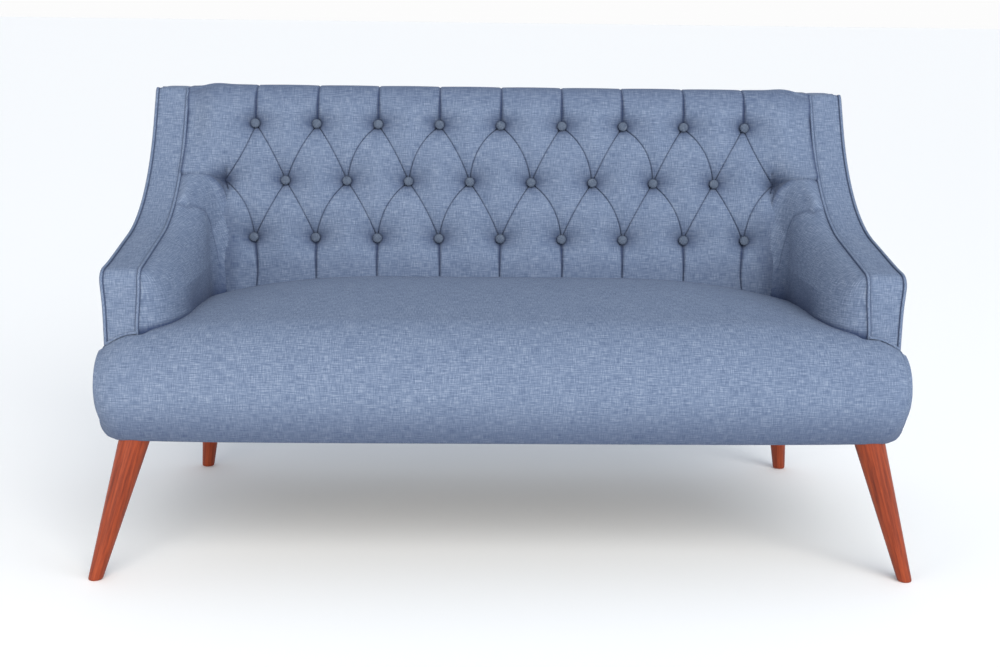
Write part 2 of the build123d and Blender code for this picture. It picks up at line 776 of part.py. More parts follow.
upright_low = back_frame_bottom + back_bottom_rail_height
upright_high = back_frame_top - back_top_rail_height
back_upright_x = 1.75 * tuft_pitch
for side, sign in sides:
    with BuildPart() as back_upright:
        with BuildSketch(tuft_face.offset(-rail_depth)):
            with Locations((sign * back_upright_x, (upright_low + upright_high) / 2)):
                Rectangle(back_upright_width, upright_high - upright_low)
        extrude(amount=rail_thickness)
    keep(back_upright, f"{side}_back_upright")

# Padded border over the top of the back, from the tufted pad to the outside panel
border_top_front = back_point(pad_thickness, pad_top)
border_rail_rear = back_point(rail_depth, back_frame_top)
with BuildPart() as back_top_border:
    with BuildSketch(Plane.YZ.offset(-pad_half)):
        with BuildLine():
            Polyline(
                back_point(pad_thickness, back_frame_top),
                border_top_front,
                (board_rear_y - 10.0, back_top_z),
                (board_rear_y, back_top_z - 8.0),
                (board_rear_y, border_rail_rear[1] - top_border_lip),
                (board_rear_y - 6.0, border_rail_rear[1] - top_border_lip),
                (board_rear_y - 6.0, border_rail_rear[1]),
                border_rail_rear,
                close=True,
            )
        make_face()
    extrude(amount=2 * pad_half)
keep(back_top_border, "back_top_border")

# Covered buttons, their ties through the padding and the washers behind the board
with BuildPart() as tufting_buttons:
    with BuildSketch(tuft_face.offset(button_lift)):
        with Locations(*button_places):
            RegularPolygon(radius=button_radius, side_count=10)
    extrude(amount=button_height, taper=math.degrees(math.atan2(button_taper, button_height)))
keep(tufting_buttons, "tufting_buttons")

with BuildPart() as button_ties:
    with BuildSketch(tuft_face.offset(-board_depth)):
        with Locations(*button_places):
            Rectangle(tie_width, tie_width)
    extrude(amount=board_depth + button_lift)
keep(button_ties, "button_ties")

with BuildPart() as tie_washers:
    with BuildSketch(tuft_face.offset(-board_depth)):
        with Locations(*button_places):
            Rectangle(washer_width, washer_width)
    extrude(amount=-washer_thickness)
keep(tie_washers, "tie_washers")
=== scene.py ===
"""Two-seater sofa: looks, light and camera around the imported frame. Metres, in the frame's own axes."""

import json
import math

import bmesh
import bpy
import numpy as np
from mathutils import Matrix, Vector


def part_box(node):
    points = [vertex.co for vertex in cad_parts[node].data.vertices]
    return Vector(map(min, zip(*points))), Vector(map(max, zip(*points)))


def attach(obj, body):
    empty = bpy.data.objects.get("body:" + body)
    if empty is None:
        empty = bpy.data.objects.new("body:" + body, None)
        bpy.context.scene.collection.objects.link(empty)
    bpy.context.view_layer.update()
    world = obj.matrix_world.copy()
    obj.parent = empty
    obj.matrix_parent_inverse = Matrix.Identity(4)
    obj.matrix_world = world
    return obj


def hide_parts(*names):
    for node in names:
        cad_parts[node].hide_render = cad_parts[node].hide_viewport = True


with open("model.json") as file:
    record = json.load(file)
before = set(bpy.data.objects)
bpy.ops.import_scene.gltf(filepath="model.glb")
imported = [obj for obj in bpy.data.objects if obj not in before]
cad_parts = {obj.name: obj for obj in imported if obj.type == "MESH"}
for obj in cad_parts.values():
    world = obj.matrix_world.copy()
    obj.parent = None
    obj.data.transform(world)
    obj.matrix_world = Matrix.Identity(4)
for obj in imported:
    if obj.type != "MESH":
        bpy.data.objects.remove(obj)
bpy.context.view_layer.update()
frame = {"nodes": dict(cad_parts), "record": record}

# Places read from the frame
inner_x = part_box("right_inner_welt")[0].x
outer_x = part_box("right_outer_welt")[1].x
arm_front_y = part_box("right_arm_band")[0].y
wing_top_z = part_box("right_arm_band")[1].z
rear_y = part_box("outside_back_panel")[1].y
body_low_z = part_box("dust_cover")[0].z
seat_low, seat_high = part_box("seat_cover")
felt_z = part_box("spring_felt")[0].z

sides = (("left", -1), ("right", 1))


# Small helpers

def link(name, data):
    obj = bpy.data.objects.new(name, data)
    bpy.context.scene.collection.objects.link(obj)
    return obj


def smooth(t):
    t = np.clip(t, 0.0, 1.0)
    return t * t * (3.0 - 2.0 * t)


def rising(value, start, run):
    """Soft step from 0 to 1 over a run, as the value grows past its start."""
    return smooth((value - start) / run)


def falling(value, start, run):
    """Soft step from 0 to 1 over a run, as the value falls below its start."""
    return smooth((start - value) / run)


def bell(distance, width):
    return np.exp(-((distance / width) ** 2))


def fade(distance, width):
    return np.exp(-distance / width)


def deepest(*folds):
    """The darkest of several folds at each point."""
    return np.maximum.reduce(folds)


def ring(count):
    return np.linspace(0.0, 2 * math.pi, count, endpoint=False)


def stacked(*parts):
    return np.stack(parts, axis=-1)


def unit_tangent(line):
    tangent = np.gradient(line, axis=0)
    return tangent / np.linalg.norm(tangent, axis=1)[:, None]


def way_along(line):
    return np.concatenate([[0.0], np.cumsum(np.linalg.norm(np.diff(line, axis=0), axis=1))])


def read_points(mesh):
    points = np.zeros(len(mesh.vertices) * 3, np.float32)
    mesh.vertices.foreach_get("co", points)
    return points.reshape(-1, 3)


def set_cloth(mesh, cloth):
    """Stores where each point lies on its cloth, in metres, and as third value how much painted shade darkens
    it.
    """
    layer = mesh.attributes.get("cloth") or mesh.attributes.new("cloth", "FLOAT_VECTOR", "POINT")
    layer.data.foreach_set("vector", np.asarray(cloth, np.float32).ravel())


def shade_smooth(mesh):
    mesh.polygons.foreach_set("use_smooth", np.ones(len(mesh.polygons), bool))


def new_mesh(name, points, faces, cloth=None):
    mesh = bpy.data.meshes.new(name)
    mesh.from_pydata(points, [], faces)
    mesh.update()
    shade_smooth(mesh)
    if cloth is not None:
        set_cloth(mesh, cloth)
    return mesh


def grid_faces(rows, cols, wrap=False, caps=False, flip=False):
    """Faces between rows of points: wrap joins the ends of each row, caps closes the first and last row."""
    faces = []
    for i in range(rows - 1):
        for j in range(cols if wrap else cols - 1):
            k = (j + 1) % cols
            faces.append((i * cols + j, i * cols + k, (i + 1) * cols + k, (i + 1) * cols + j))
    if caps:
        faces.append(tuple(reversed(range(cols))))
        faces.append(tuple(range((rows - 1) * cols, rows * cols)))
    return [face[::-1] for face in faces] if flip else faces


def grid_mesh(name, points, cloth=None, **closing):
    faces = grid_faces(*points.shape[:2], **closing)
    return new_mesh(name, points.reshape(-1, 3).tolist(), faces, cloth)


def grid_piece(name, points, cloth, **closing):
    """Object from rows of points and their places on the cloth."""
    return link(name, grid_mesh(name, np.array(points), np.array(cloth), **closing))


def fillet_path(corners, radii, step):
    """Points along a polyline whose inner corners are rounded, with arcs divided to about the step."""
    points = [Vector(corners[0])]
    for before, corner, after, radius in zip(corners, corners[1:], corners[2:], radii):
        corner = Vector(corner)
        a, b = (Vector(before) - corner).normalized(), (Vector(after) - corner).normalized()
        half = a.angle(b) / 2
        reach = radius / math.tan(half)
        centre = corner + (a + b).normalized() * (radius / math.sin(half))
        start, end = corner + a * reach - centre, corner + b * reach - centre
        sweep = start.angle(end)
        turn = math.copysign(1.0, start.x * end.y - start.y * end.x)
        count = max(4, int(sweep * radius / step))
        for i in range(count + 1):
            angle = turn * sweep * i / count
            c, s = math.cos(angle), math.sin(angle)
            points.append(centre + Vector((start.x * c - start.y * s, start.x * s + start.y * c)))
    points.append(Vector(corners[-1]))
    return points


def even(points, step):
    """The same path with points an even step apart, and the distance along it."""
    line = np.array([tuple(p) for p in points], float)
    along = way_along(line)
    count = max(2, int(round(along[-1] / step)) + 1)
    at = np.linspace(0.0, along[-1], count)
    return np.stack([np.interp(at, along, line[:, i]) for i in range(line.shape[1])], axis=1), at


def path_distance(path, u, v):
    """Distance of places from a path of straight pieces, and the share of it up to the nearest point."""
    best, share = np.full(u.shape, 1.0), np.zeros(u.shape)
    for n, (a, b) in enumerate(zip(path[:-1], path[1:])):
        d = b - a
        t = np.clip(((u - a[0]) * d[0] + (v - a[1]) * d[1]) / (d @ d), 0.0, 1.0)
        gap = np.hypot(u - a[0] - t * d[0], v - a[1] - t * d[1])
        share = np.where(gap < best, (n + t) / (len(path) - 1), share)
        best = np.minimum(best, gap)
    return best, share


# Arm outline in side view, as the frame has it

arm_front_z = 0.522
arm_slope = math.radians(8.9)
wing_slope = math.radians(61.0)
wing_top_y = 0.238
nose_radius = 0.022
swoop_radius = 0.370
wing_corner_radius = 0.014
arm_arc_step = 0.002
arm_step = 0.006


def meet(p, a, q, b):
    """Where the line through p at angle a meets the line through q at angle b."""
    reach = ((q[0] - p[0]) * math.sin(b) - (q[1] - p[1]) * math.cos(b)) / math.sin(b - a)
    return (p[0] + reach * math.cos(a), p[1] + reach * math.sin(a))


def arm_outline(inset, bottom_z, end_y, step=arm_step):
    """Side-view points of the arm from its front foot over the swoop to the top of the wing and back."""
    on_arm = (arm_front_y + inset * math.sin(arm_slope), arm_front_z - inset * math.cos(arm_slope))
    on_wing = (wing_top_y + inset * math.sin(wing_slope), wing_top_z - inset * math.cos(wing_slope))
    front_y, top_z = arm_front_y + inset, wing_top_z - inset
    nose = meet((front_y, 0.0), math.pi / 2, on_arm, arm_slope)
    dip = meet(on_arm, arm_slope, on_wing, wing_slope)
    crest = meet(on_wing, wing_slope, (0.0, top_z), 0.0)
    corners = [(front_y, bottom_z), nose, dip, crest, (end_y, top_z)]
    radii = [nose_radius - inset, swoop_radius + inset, wing_corner_radius - inset]
    return even(fillet_path(corners, radii, arm_arc_step), step)


arm_line = arm_outline(0.0, body_low_z, rear_y, 0.004)[0]


def arm_top(y):
    """Height of the arm's outline at a depth."""
    upper = arm_line[arm_line[:, 1] > arm_front_z - nose_radius]
    return np.interp(y, upper[:, 0], upper[:, 1])


def wing_edge(z):
    """Depth of the arm's outline at a height on the swoop and wing."""
    rising_part = arm_line[(arm_line[:, 1] > arm_front_z) & (arm_line[:, 1] < wing_top_z - 0.001)]
    return np.interp(z, rising_part[:, 1], rising_part[:, 0])


# Buttons: their places give the tufted back its lie

button_middle = 0.0100
same_row = 0.02


def solid_middles(node):
    """Middle of each separate solid in a node."""
    bm = bmesh.new()
    bm.from_mesh(frame["nodes"][node].data)
    bmesh.ops.remove_doubles(bm, verts=bm.verts, dist=1e-5)
    met, middles = set(), []
    for start in bm.verts:
        if start in met:
            continue
        met.add(start)
        group = [start]
        for vert in group:
            fresh = [other for other in (e.other_vert(vert) for e in vert.link_edges) if other not in met]
            met.update(fresh)
            group.extend(fresh)
        middles.append(sum((vert.co for vert in group), Vector()) / len(group))
    bm.free()
    return middles


button_middles = sorted(solid_middles("tufting_buttons"), key=lambda p: (-round(p.z, 2), p.x))
top_row = [p for p in button_middles if p.z > max(q.z for q in button_middles) - same_row]
low_row = [p for p in button_middles if p.z < min(q.z for q in button_middles) + same_row]
pitch = (top_row[-1].x - top_row[0].x) / (len(top_row) - 1)
recline = math.atan2(top_row[0].y - low_row[0].y, top_row[0].z - low_row[0].z)
row_drop = math.hypot(top_row[0].y - low_row[0].y, top_row[0].z - low_row[0].z) / 2
up_slope = Vector((0.0, math.sin(recline), math.cos(recline)))
to_sitter = Vector((0.0, -math.cos(recline), math.sin(recline)))
tuft_origin = Vector((0.0, top_row[0].y, top_row[0].z)) - to_sitter * button_middle


# Materials

def new_material(name):
    material = bpy.data.materials.new(name)
    material.use_nodes = True
    tree = material.node_tree
    return material, tree, tree.nodes["Principled BSDF"]


def node(tree, kind, **settings):
    made = tree.nodes.new(kind)
    for key, value in settings.items():
        setattr(made, key, value)
    return made


def set_inputs(made, **values):
    """Sets constant sockets, named with underscores for spaces."""
    for key, value in values.items():
        made.inputs[key.replace("_", " ")].default_value = value


def scaled_noise(tree, vector, cells, detail=2.0, roughness=0.5):
    """Noise with so many cells to the metre along each axis."""
    mapping = node(tree, "ShaderNodeMapping")
    set_inputs(mapping, Scale=cells)
    tree.links.new(vector, mapping.inputs["Vector"])
    texture = node(tree, "ShaderNodeTexNoise")
    set_inputs(texture, Scale=1.0, Detail=detail, Roughness=roughness)
    tree.links.new(mapping.outputs["Vector"], texture.inputs["Vector"])
    return texture.outputs["Fac"]


def ramp(tree, value, stops):
    made = node(tree, "ShaderNodeValToRGB")
    tree.links.new(value, made.inputs["Fac"])
    elements = made.color_ramp.elements
    while len(elements) < len(stops):
        elements.new(0.5)
    for element, (at, colour) in zip(elements, stops):
        element.position = at
        element.color = (*colour, 1.0)
    return made.outputs["Color"]


def maths(tree, operation, *values, clamp=False):
    made = node(tree, "ShaderNodeMath", operation=operation, use_clamp=clamp)
    for socket, value in zip(made.inputs, values):
        if isinstance(value, float):
            socket.default_value = value
        else:
            tree.links.new(value, socket)
    return made.outputs["Value"]


def weighted(tree, *shares):
    """Sum of values, each times its weight."""
    total = None
    for value, weight in shares:
        term = maths(tree, "MULTIPLY", value, weight)
        total = maths(tree, "ADD", total, term) if total else term
    return total


def relieve(tree, shader, height, strength, distance):
    """Raises the surface a little by a height."""
    bump = node(tree, "ShaderNodeBump")
    set_inputs(bump, Strength=strength, Distance=distance)
    tree.links.new(height, bump.inputs["Height"])
    tree.links.new(bump.outputs["Normal"], shader.inputs["Normal"])


# Linen: noise cells to the metre across and along the cloth, thread, and how painted shade in folds and
# corners shifts its colour
weft_cells, warp_cells = (52.0, 690.0, 0.0), (720.0, 60.0, 0.0)
fleck_cells, blotch_cells = (950.0, 1150.0, 0.0), (16.0, 16.0, 0.0)
blotch_weight = 0.06
thread = 0.0012
weave_weight = 0.25
painted_shade_strength = 0.85
painted_shade_shares = (0.15, 0.22, 0.42)


def linen(name, base, light, dark):
    """Woven linen: slubs along both threads, a plain weave, and painted shade that darkens it in folds,
    corners and contacts.
    """
    material, tree, shader = new_material(name)
    place = node(tree, "ShaderNodeAttribute", attribute_name="cloth").outputs["Vector"]
    parts = node(tree, "ShaderNodeSeparateXYZ")
    tree.links.new(place, parts.inputs["Vector"])

    weft = scaled_noise(tree, place, weft_cells, 3.0, 0.6)
    warp = scaled_noise(tree, place, warp_cells, 3.0, 0.6)
    fleck = scaled_noise(tree, place, fleck_cells)
    blotch = scaled_noise(tree, place, blotch_cells)
    slub = weighted(tree, (weft, 0.50), (warp, 0.40), (fleck, 0.10))
    patches = maths(tree, "MULTIPLY", maths(tree, "SUBTRACT", blotch, 0.5), blotch_weight)
    slub = maths(tree, "ADD", slub, patches)
    colour = ramp(tree, slub, [(0.37, dark), (0.50, base), (0.63, light)])
    # Painted shade: the third value of the cloth attribute mixes the colour towards a deep navy share of the
    # dark thread colour
    painted_shade = maths(tree, "MULTIPLY", parts.outputs["Z"], painted_shade_strength, clamp=True)
    shaded = node(tree, "ShaderNodeMix", data_type="RGBA", blend_type="MIX")
    shaded.inputs[7].default_value = (*(share * c for share, c in zip(painted_shade_shares, dark)), 1.0)
    tree.links.new(painted_shade, shaded.inputs["Factor"])
    tree.links.new(colour, shaded.inputs[6])
    tree.links.new(shaded.outputs[2], shader.inputs["Base Color"])

    waves = []
    for axis in "XY":
        phase = maths(tree, "MULTIPLY", parts.outputs[axis], 2 * math.pi / thread)
        waves.append(maths(tree, "SINE", phase))
    weave = maths(tree, "MULTIPLY", *waves)
    relief = maths(tree, "ADD", maths(tree, "MULTIPLY", weave, weave_weight), slub)
    relieve(tree, shader, relief, strength=0.45, distance=0.0006)
    set_inputs(shader, Roughness=0.92, Specular_IOR_Level=0.25, Sheen_Weight=0.06, Sheen_Roughness=0.55,
               Sheen_Tint=(0.75, 0.83, 0.95, 1.0))
    return material


def timber(name, light, mid, dark, roughness, attribute=None, cells=(70.0, 5.0, 70.0)):
    """Wood with fine grain along the piece and soft bands across it."""
    material, tree, shader = new_material(name)
    if attribute:
        place = node(tree, "ShaderNodeAttribute", attribute_name=attribute).outputs["Vector"]
    else:
        place = node(tree, "ShaderNodeTexCoord").outputs["Object"]
    bands = scaled_noise(tree, place, cells, 3.0, 0.55)
    fine = scaled_noise(tree, place, tuple(7.0 * c for c in cells), 2.0, 0.6)
    grain = weighted(tree, (bands, 0.65), (fine, 0.35))
    colour = ramp(tree, grain, [(0.34, dark), (0.50, mid), (0.68, light)])
    tree.links.new(colour, shader.inputs["Base Color"])
    relieve(tree, shader, grain, strength=0.12, distance=0.0005)
    variation = 0.18
    dull = maths(tree, "ADD", maths(tree, "MULTIPLY", fine, variation), roughness - variation / 2)
    tree.links.new(dull, shader.inputs["Roughness"])
    set_inputs(shader, Specular_IOR_Level=0.32)
    return material


def plain_cloth(name, colour, cells, roughness=0.95):
    """Felt, foam or spun cloth: a speckled matt surface."""
    material, tree, shader = new_material(name)
    place = node(tree, "ShaderNodeTexCoord").outputs["Object"]
    speckle = scaled_noise(tree, place, (cells, cells, cells), 4.0, 0.65)
    low, high = tuple(0.75 * c for c in colour), tuple(min(1.0, 1.2 * c) for c in colour)
    tree.links.new(ramp(tree, speckle, [(0.3, low), (0.7, high)]), shader.inputs["Base Color"])
    relieve(tree, shader, speckle, strength=0.3, distance=0.0006)
    set_inputs(shader, Roughness=roughness)
    return material


def drawn_steel(name):
    material, tree, shader = new_material(name)
    place = node(tree, "ShaderNodeTexCoord").outputs["Object"]
    marks = scaled_noise(tree, place, (400.0, 400.0, 60.0), 3.0, 0.6)
    colour = ramp(tree, marks, [(0.3, (0.30, 0.30, 0.31)), (0.7, (0.50, 0.50, 0.51))])
    tree.links.new(colour, shader.inputs["Base Color"])
    dull = maths(tree, "ADD", maths(tree, "MULTIPLY", marks, 0.3), 0.25)
    tree.links.new(dull, shader.inputs["Roughness"])
    set_inputs(shader, Metallic=1.0)
    return material


upholstery = linen("upholstery_linen", base=(0.131, 0.173, 0.262), light=(0.228, 0.277, 0.368),
                   dark=(0.072, 0.103, 0.178))
slot_materials = {
    "upholstery": upholstery,
    "piping": upholstery,
    # Buttons in the same linen, in darker copies of its colours: painted shade of the buttons sunk in their
    # dimples
    "button_cloth": linen("button_linen_shaded", base=(0.082, 0.106, 0.153), light=(0.130, 0.158, 0.207),
                          dark=(0.050, 0.068, 0.110)),
    "leg_wood": timber("leg_timber", light=(0.32, 0.053, 0.012), mid=(0.22, 0.031, 0.007),
                       dark=(0.11, 0.014, 0.003), roughness=0.50, attribute="cloth",
                       cells=(260.0, 9.0, 40.0)),
    "frame_wood": timber("frame_timber", light=(0.68, 0.52, 0.34), mid=(0.58, 0.42, 0.26),
                         dark=(0.46, 0.31, 0.18), roughness=0.7),
    "plywood": timber("ply_timber", light=(0.72, 0.57, 0.38), mid=(0.62, 0.47, 0.30),
                      dark=(0.50, 0.36, 0.22), roughness=0.65),
    "foam": plain_cloth("foam", (0.78, 0.74, 0.56), 900.0),
    "felt": plain_cloth("felt", (0.32, 0.32, 0.31), 500.0),
    "dust_cloth": plain_cloth("dust_cloth", (0.022, 0.022, 0.024), 700.0),
    "twine": plain_cloth("twine", (0.60, 0.55, 0.42), 900.0),
    "steel": drawn_steel("steel"),
}
for subpart in frame["record"]["subparts"]:
    obj = frame["nodes"][subpart["node"]]
    obj.data.materials.clear()
    obj.data.materials.append(slot_materials[subpart["material_slot"]])


def dress(obj, slot, *nodes):
    """Finishes a piece: the material of its slot, its body, and hiding the nodes that it stands for."""
    obj.data.materials.clear()
    obj.data.materials.append(slot_materials[slot])
    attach(obj, "root")
    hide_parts(*nodes)
    return obj


# Tufted back, on places u across it from its middle and v up its slope from the top row of buttons

puff_height = 0.027
tuft_reach, tuft_curve = 0.024, 1.3
tuft_widening = 1.35
pleat_soft_depth, pleat_soft_width = 0.0065, 0.017
pleat_line_depth, pleat_line_width = 0.0050, 0.0008
flute_line_width, flute_end_width = 0.0046, 0.0009
flute_top, flute_bottom = 0.16, -0.340
wedge_curve = 2.4
# Bows of the diagonal pleats: away from the middle by row, towards it, and the few that differ
outward_bows, inward_bow = (0.0125, 0.0110), 0.0035
low_end_bow = -0.0015
straight_bow = 0.0020
pucker_bow = -0.009
corner_bow = 0.016
# Short pleats at a drawn-in place: inward, upward, first and last width, strength of their painted shade
pucker_pleats = ((0.009, -0.018, 0.0030, 0.0010, 1.0), (0.006, 0.020, 0.0060, 0.0020, 0.3))
spare = 0.01


def bowed(start, end, bow):
    """Points of a pleat from one tuft down to the next, bowed up and away from the upper one."""
    t = np.linspace(0.0, 1.0, 25)
    du, dv = end[0] - start[0], end[1] - start[1]
    length = math.hypot(du, dv)
    lift = 4.0 * t * (1.0 - t) * bow / length
    return stacked(start[0] + du * t + lift * abs(dv) * math.copysign(1.0, du),
                   start[1] + dv * t + lift * abs(du))


def flute(start, end, belly):
    """Points of an upright pleat, bellied sideways in its middle."""
    t = np.linspace(0.0, 1.0, 15)
    return stacked(start[0] + (end[0] - start[0]) * t + belly * np.sin(math.pi * t),
                   start[1] + (end[1] - start[1]) * t)


columns = [p.x for p in top_row]
last_column = columns[-1]
pucker_x = last_column + pitch / 2
middle_columns = [-pucker_x] + [x + pitch / 2 for x in columns[:-1]] + [pucker_x]
tufts = []
for row, places in enumerate((columns, middle_columns, columns)):
    tufts.extend((x, -row * row_drop) for x in places)

# Each pleat is its path, its width at both ends and how strongly painted shade darkens its fold
pleats = []
for row, places in enumerate((columns, middle_columns)):
    for i, x in enumerate(places):
        for way in (-1, 1):
            target = x + way * pitch / 2
            if abs(target) > (pucker_x, last_column)[row] + spare:
                continue
            outward = way * x > -spare
            bow = outward_bows[row] if outward else inward_bow
            bow *= 1.0 + 0.2 * math.sin(2.3 * i + 1.1 * row + way)
            if row == 1 and abs(target) > last_column - spare:
                bow = low_end_bow
            if row == 0 and outward and x < 0.0 and i == 1:
                bow = straight_bow
            if abs(target) > pucker_x - spare:
                bow = pucker_bow
            if abs(x) > pucker_x - spare:
                bow = corner_bow
            path = bowed((x, -row * row_drop), (target, -(row + 1) * row_drop), bow)
            pleats.append((path, pleat_line_width, pleat_line_width, 0.9 if outward else 0.7))
for side, sign in sides:
    for inward, upward, first, final, dark in pucker_pleats:
        end = (sign * (pucker_x - inward), -row_drop + upward)
        pleats.append((flute((sign * pucker_x, -row_drop), end, 0.0), first, final, dark))
for i, x in enumerate(columns):
    lean = -0.009 * x / last_column + 0.002 * math.sin(3.1 * i)
    above = flute((x, 0.0), (x + lean, flute_top), 0.001 * math.sin(1.9 * i))
    at_end = abs(x) > last_column - spare
    belly = -0.007 * x / last_column if at_end else 0.0015 * math.sin(2.7 * i)
    below = flute((x, -2 * row_drop), (x - 0.004 * x / last_column, flute_bottom), belly)
    for path in (above, below):
        pleats.append((path, flute_line_width, flute_end_width, 1.0))


def pleat_field(u, v, near=0.07):
    """Distance to the nearest pleat, with that pleat's width and strength of painted shade where it is
    nearest.
    """
    best, width, dark = np.full(u.shape, 1.0), np.full(u.shape, pleat_line_width), np.zeros(u.shape)
    for path, first, final, depth in pleats:
        low, high = path.min(0) - near, path.max(0) + near
        inside = (u > low[0]) & (u < high[0]) & (v > low[1]) & (v < high[1])
        if not inside.any():
            continue
        found, share = path_distance(path, u[inside], v[inside])
        closer = found < best[inside]
        best[inside] = np.where(closer, found, best[inside])
        wedge = final + (first - final) * (1.0 - share) ** wedge_curve
        width[inside] = np.where(closer, wedge, width[inside])
        dark[inside] = np.where(closer, depth, dark[inside])
    return best, width, dark


def tuft_distance(u, v):
    """Distance to the nearest tuft, counted shorter across than up, as the dimples are wider than high."""
    best = np.full(u.shape, 1.0)
    for x, y in tufts:
        best = np.minimum(best, np.hypot((u - x) / tuft_widening, v - y))
    return best


back_low = 0.335
back_half = inner_x + 0.001
back_depth = 0.030
back_line_step = 0.001
roll_start = 0.046
roll_radius = 0.024
lip_radius = 0.009
lip_y = rear_y - 0.012 + lip_radius
lip_drop = 0.022
# By place up the back: fullness, strength of soft and sharp pleats, strength of painted shade in the pleats,
# roll at the wings
fullness = ([-0.335, -0.27, -0.2, 0.015, 0.05, 0.085, 0.11, 0.14, 0.2],
            [0.020, 0.025, puff_height, puff_height, 0.0185, 0.0085, 0.0062, 0.004, 0.002])
soft_strength = ([-0.33, -0.25, 0.015, 0.05, 0.08], [0.8, 1.0, 1.0, 0.3, 0.1])
line_strength = ([-0.33, -0.25, 0.04, 0.07, 0.10], [1.0, 1.0, 1.0, 0.45, 0.1])
pleat_shade_by_height = ([0.05, 0.1], [1.0, 0.5])
wing_fullness = ([-0.1, 0.0, 0.05, 0.1], [0.2, 1.0, 0.8, 0.2])
flute_hold, flute_spare = 0.95, 0.004
pucker_depth, pucker_reach = 0.008, 0.016
corner_crest, crest_height, crest_width = 0.512, 0.006, 0.022
wing_turn, wing_roll = 0.035, 0.010


def back_profile(step):
    """Side view of the padding's base, from behind the seat up and over to the rear edge."""
    low = tuft_origin - up_slope * back_low
    bend = tuft_origin + up_slope * (roll_start + roll_radius * math.tan((math.pi / 2 - recline) / 2))
    corners = [(low.y, low.z), (bend.y, bend.z), (lip_y, bend.z), (lip_y, bend.z - lip_drop)]
    return even(fillet_path(corners, [roll_radius, lip_radius], back_line_step), step)


def back_surface(u, v):
    """Points of the padded face over places across and up it, with the painted shade of each."""
    line, along = back_profile(back_line_step)
    tangent = unit_tangent(line)
    height = along - back_low
    base_y, base_z = np.interp(v, height, line[:, 0]), np.interp(v, height, line[:, 1])
    normal_y, normal_z = np.interp(v, height, -tangent[:, 1]), np.interp(v, height, tangent[:, 0])
    side_u = np.abs(u)
    near_tuft = tuft_distance(u, v)
    near_pleat, line_width, line_shade = pleat_field(u, v)
    near_pucker = np.hypot(side_u - pucker_x, v + row_drop)
    in_line = bell(near_pleat, line_width)
    drawn_in = 0.55 + 0.45 * bell(near_tuft, 0.032)
    on_flute = (v > flute_spare) | (v < -2 * row_drop - flute_spare)
    drawn_in = np.where(on_flute, flute_hold, drawn_in)

    rise = np.interp(v, *fullness) * (1.0 - np.exp(-((near_tuft / tuft_reach) ** tuft_curve)))
    rise -= pleat_soft_depth * np.interp(v, *soft_strength) * fade(near_pleat, pleat_soft_width)
    rise -= pleat_line_depth * np.interp(v, *line_strength) * drawn_in * in_line
    rise -= pucker_depth * bell(near_pucker, pucker_reach)
    below = falling(v, -0.100, 0.03)
    rise += below * crest_height * bell(side_u - corner_crest, crest_width)

    # Beside the wings the face turns level with their pipings
    edge_y = wing_edge(np.clip(base_z, arm_front_z + 0.08, wing_top_z - 0.003)) + 0.002
    at_wing = np.clip((base_y - edge_y) / math.cos(recline), -0.003, 0.060)
    at_wing = np.where(v > 0.07, np.clip(at_wing, 0.0035, 0.0045), at_wing)
    turn = rising(side_u, last_column + wing_turn, back_half - last_column - wing_turn) * (1.0 - below)
    panel = wing_roll * np.sin(np.pi * turn) * np.interp(v, *wing_fullness)
    rise = rise * (1.0 - turn) + at_wing * turn + panel
    points = stacked(u, base_y + normal_y * rise, base_z + normal_z * rise)

    # Painted shade: dark pleat lines, halos round the tufts and puckers, and darker beside the wings, in the
    # low corners, at the bottom and towards the top
    painted_shade = line_shade * drawn_in * in_line * np.interp(v, *pleat_shade_by_height)
    tuft_shade = 0.66 * bell(near_tuft, 0.0135) + 0.24 * bell(near_tuft, 0.027)
    painted_shade = deepest(painted_shade, tuft_shade, 0.80 * bell(near_pucker, 0.0105)) * (1.0 - turn)
    wing_shade = 0.90 * bell(back_half - side_u, 0.0042) * (v < 0.075)
    corner_shade = 0.46 * rising(side_u, 0.482, 0.035) * below * falling(v, -0.13, 0.12)
    low_shade = 0.20 * falling(v, -0.235, 0.05)
    top_shade = 0.36 * rising(v, 0.020, 0.05)
    return points, deepest(painted_shade, wing_shade, corner_shade, low_shade, top_shade)


def close_behind(mesh, depth):
    """Closes an open sheet by carrying its rim back from the sitter and capping it."""
    bm = bmesh.new()
    bm.from_mesh(mesh)
    rim = [e for e in bm.edges if e.is_boundary]
    made = bmesh.ops.extrude_edge_only(bm, edges=rim)["geom"]
    for vert in (g for g in made if isinstance(g, bmesh.types.BMVert)):
        if vert.co.z < wing_top_z - 0.02:
            vert.co -= to_sitter * ((vert.co - tuft_origin).dot(to_sitter) + depth)
        else:
            vert.co.z -= depth / 2
    bmesh.ops.holes_fill(bm, edges=[e for e in bm.edges if e.is_boundary], sides=0)
    bmesh.ops.recalc_face_normals(bm, faces=bm.faces)
    bm.to_mesh(mesh)
    bm.free()


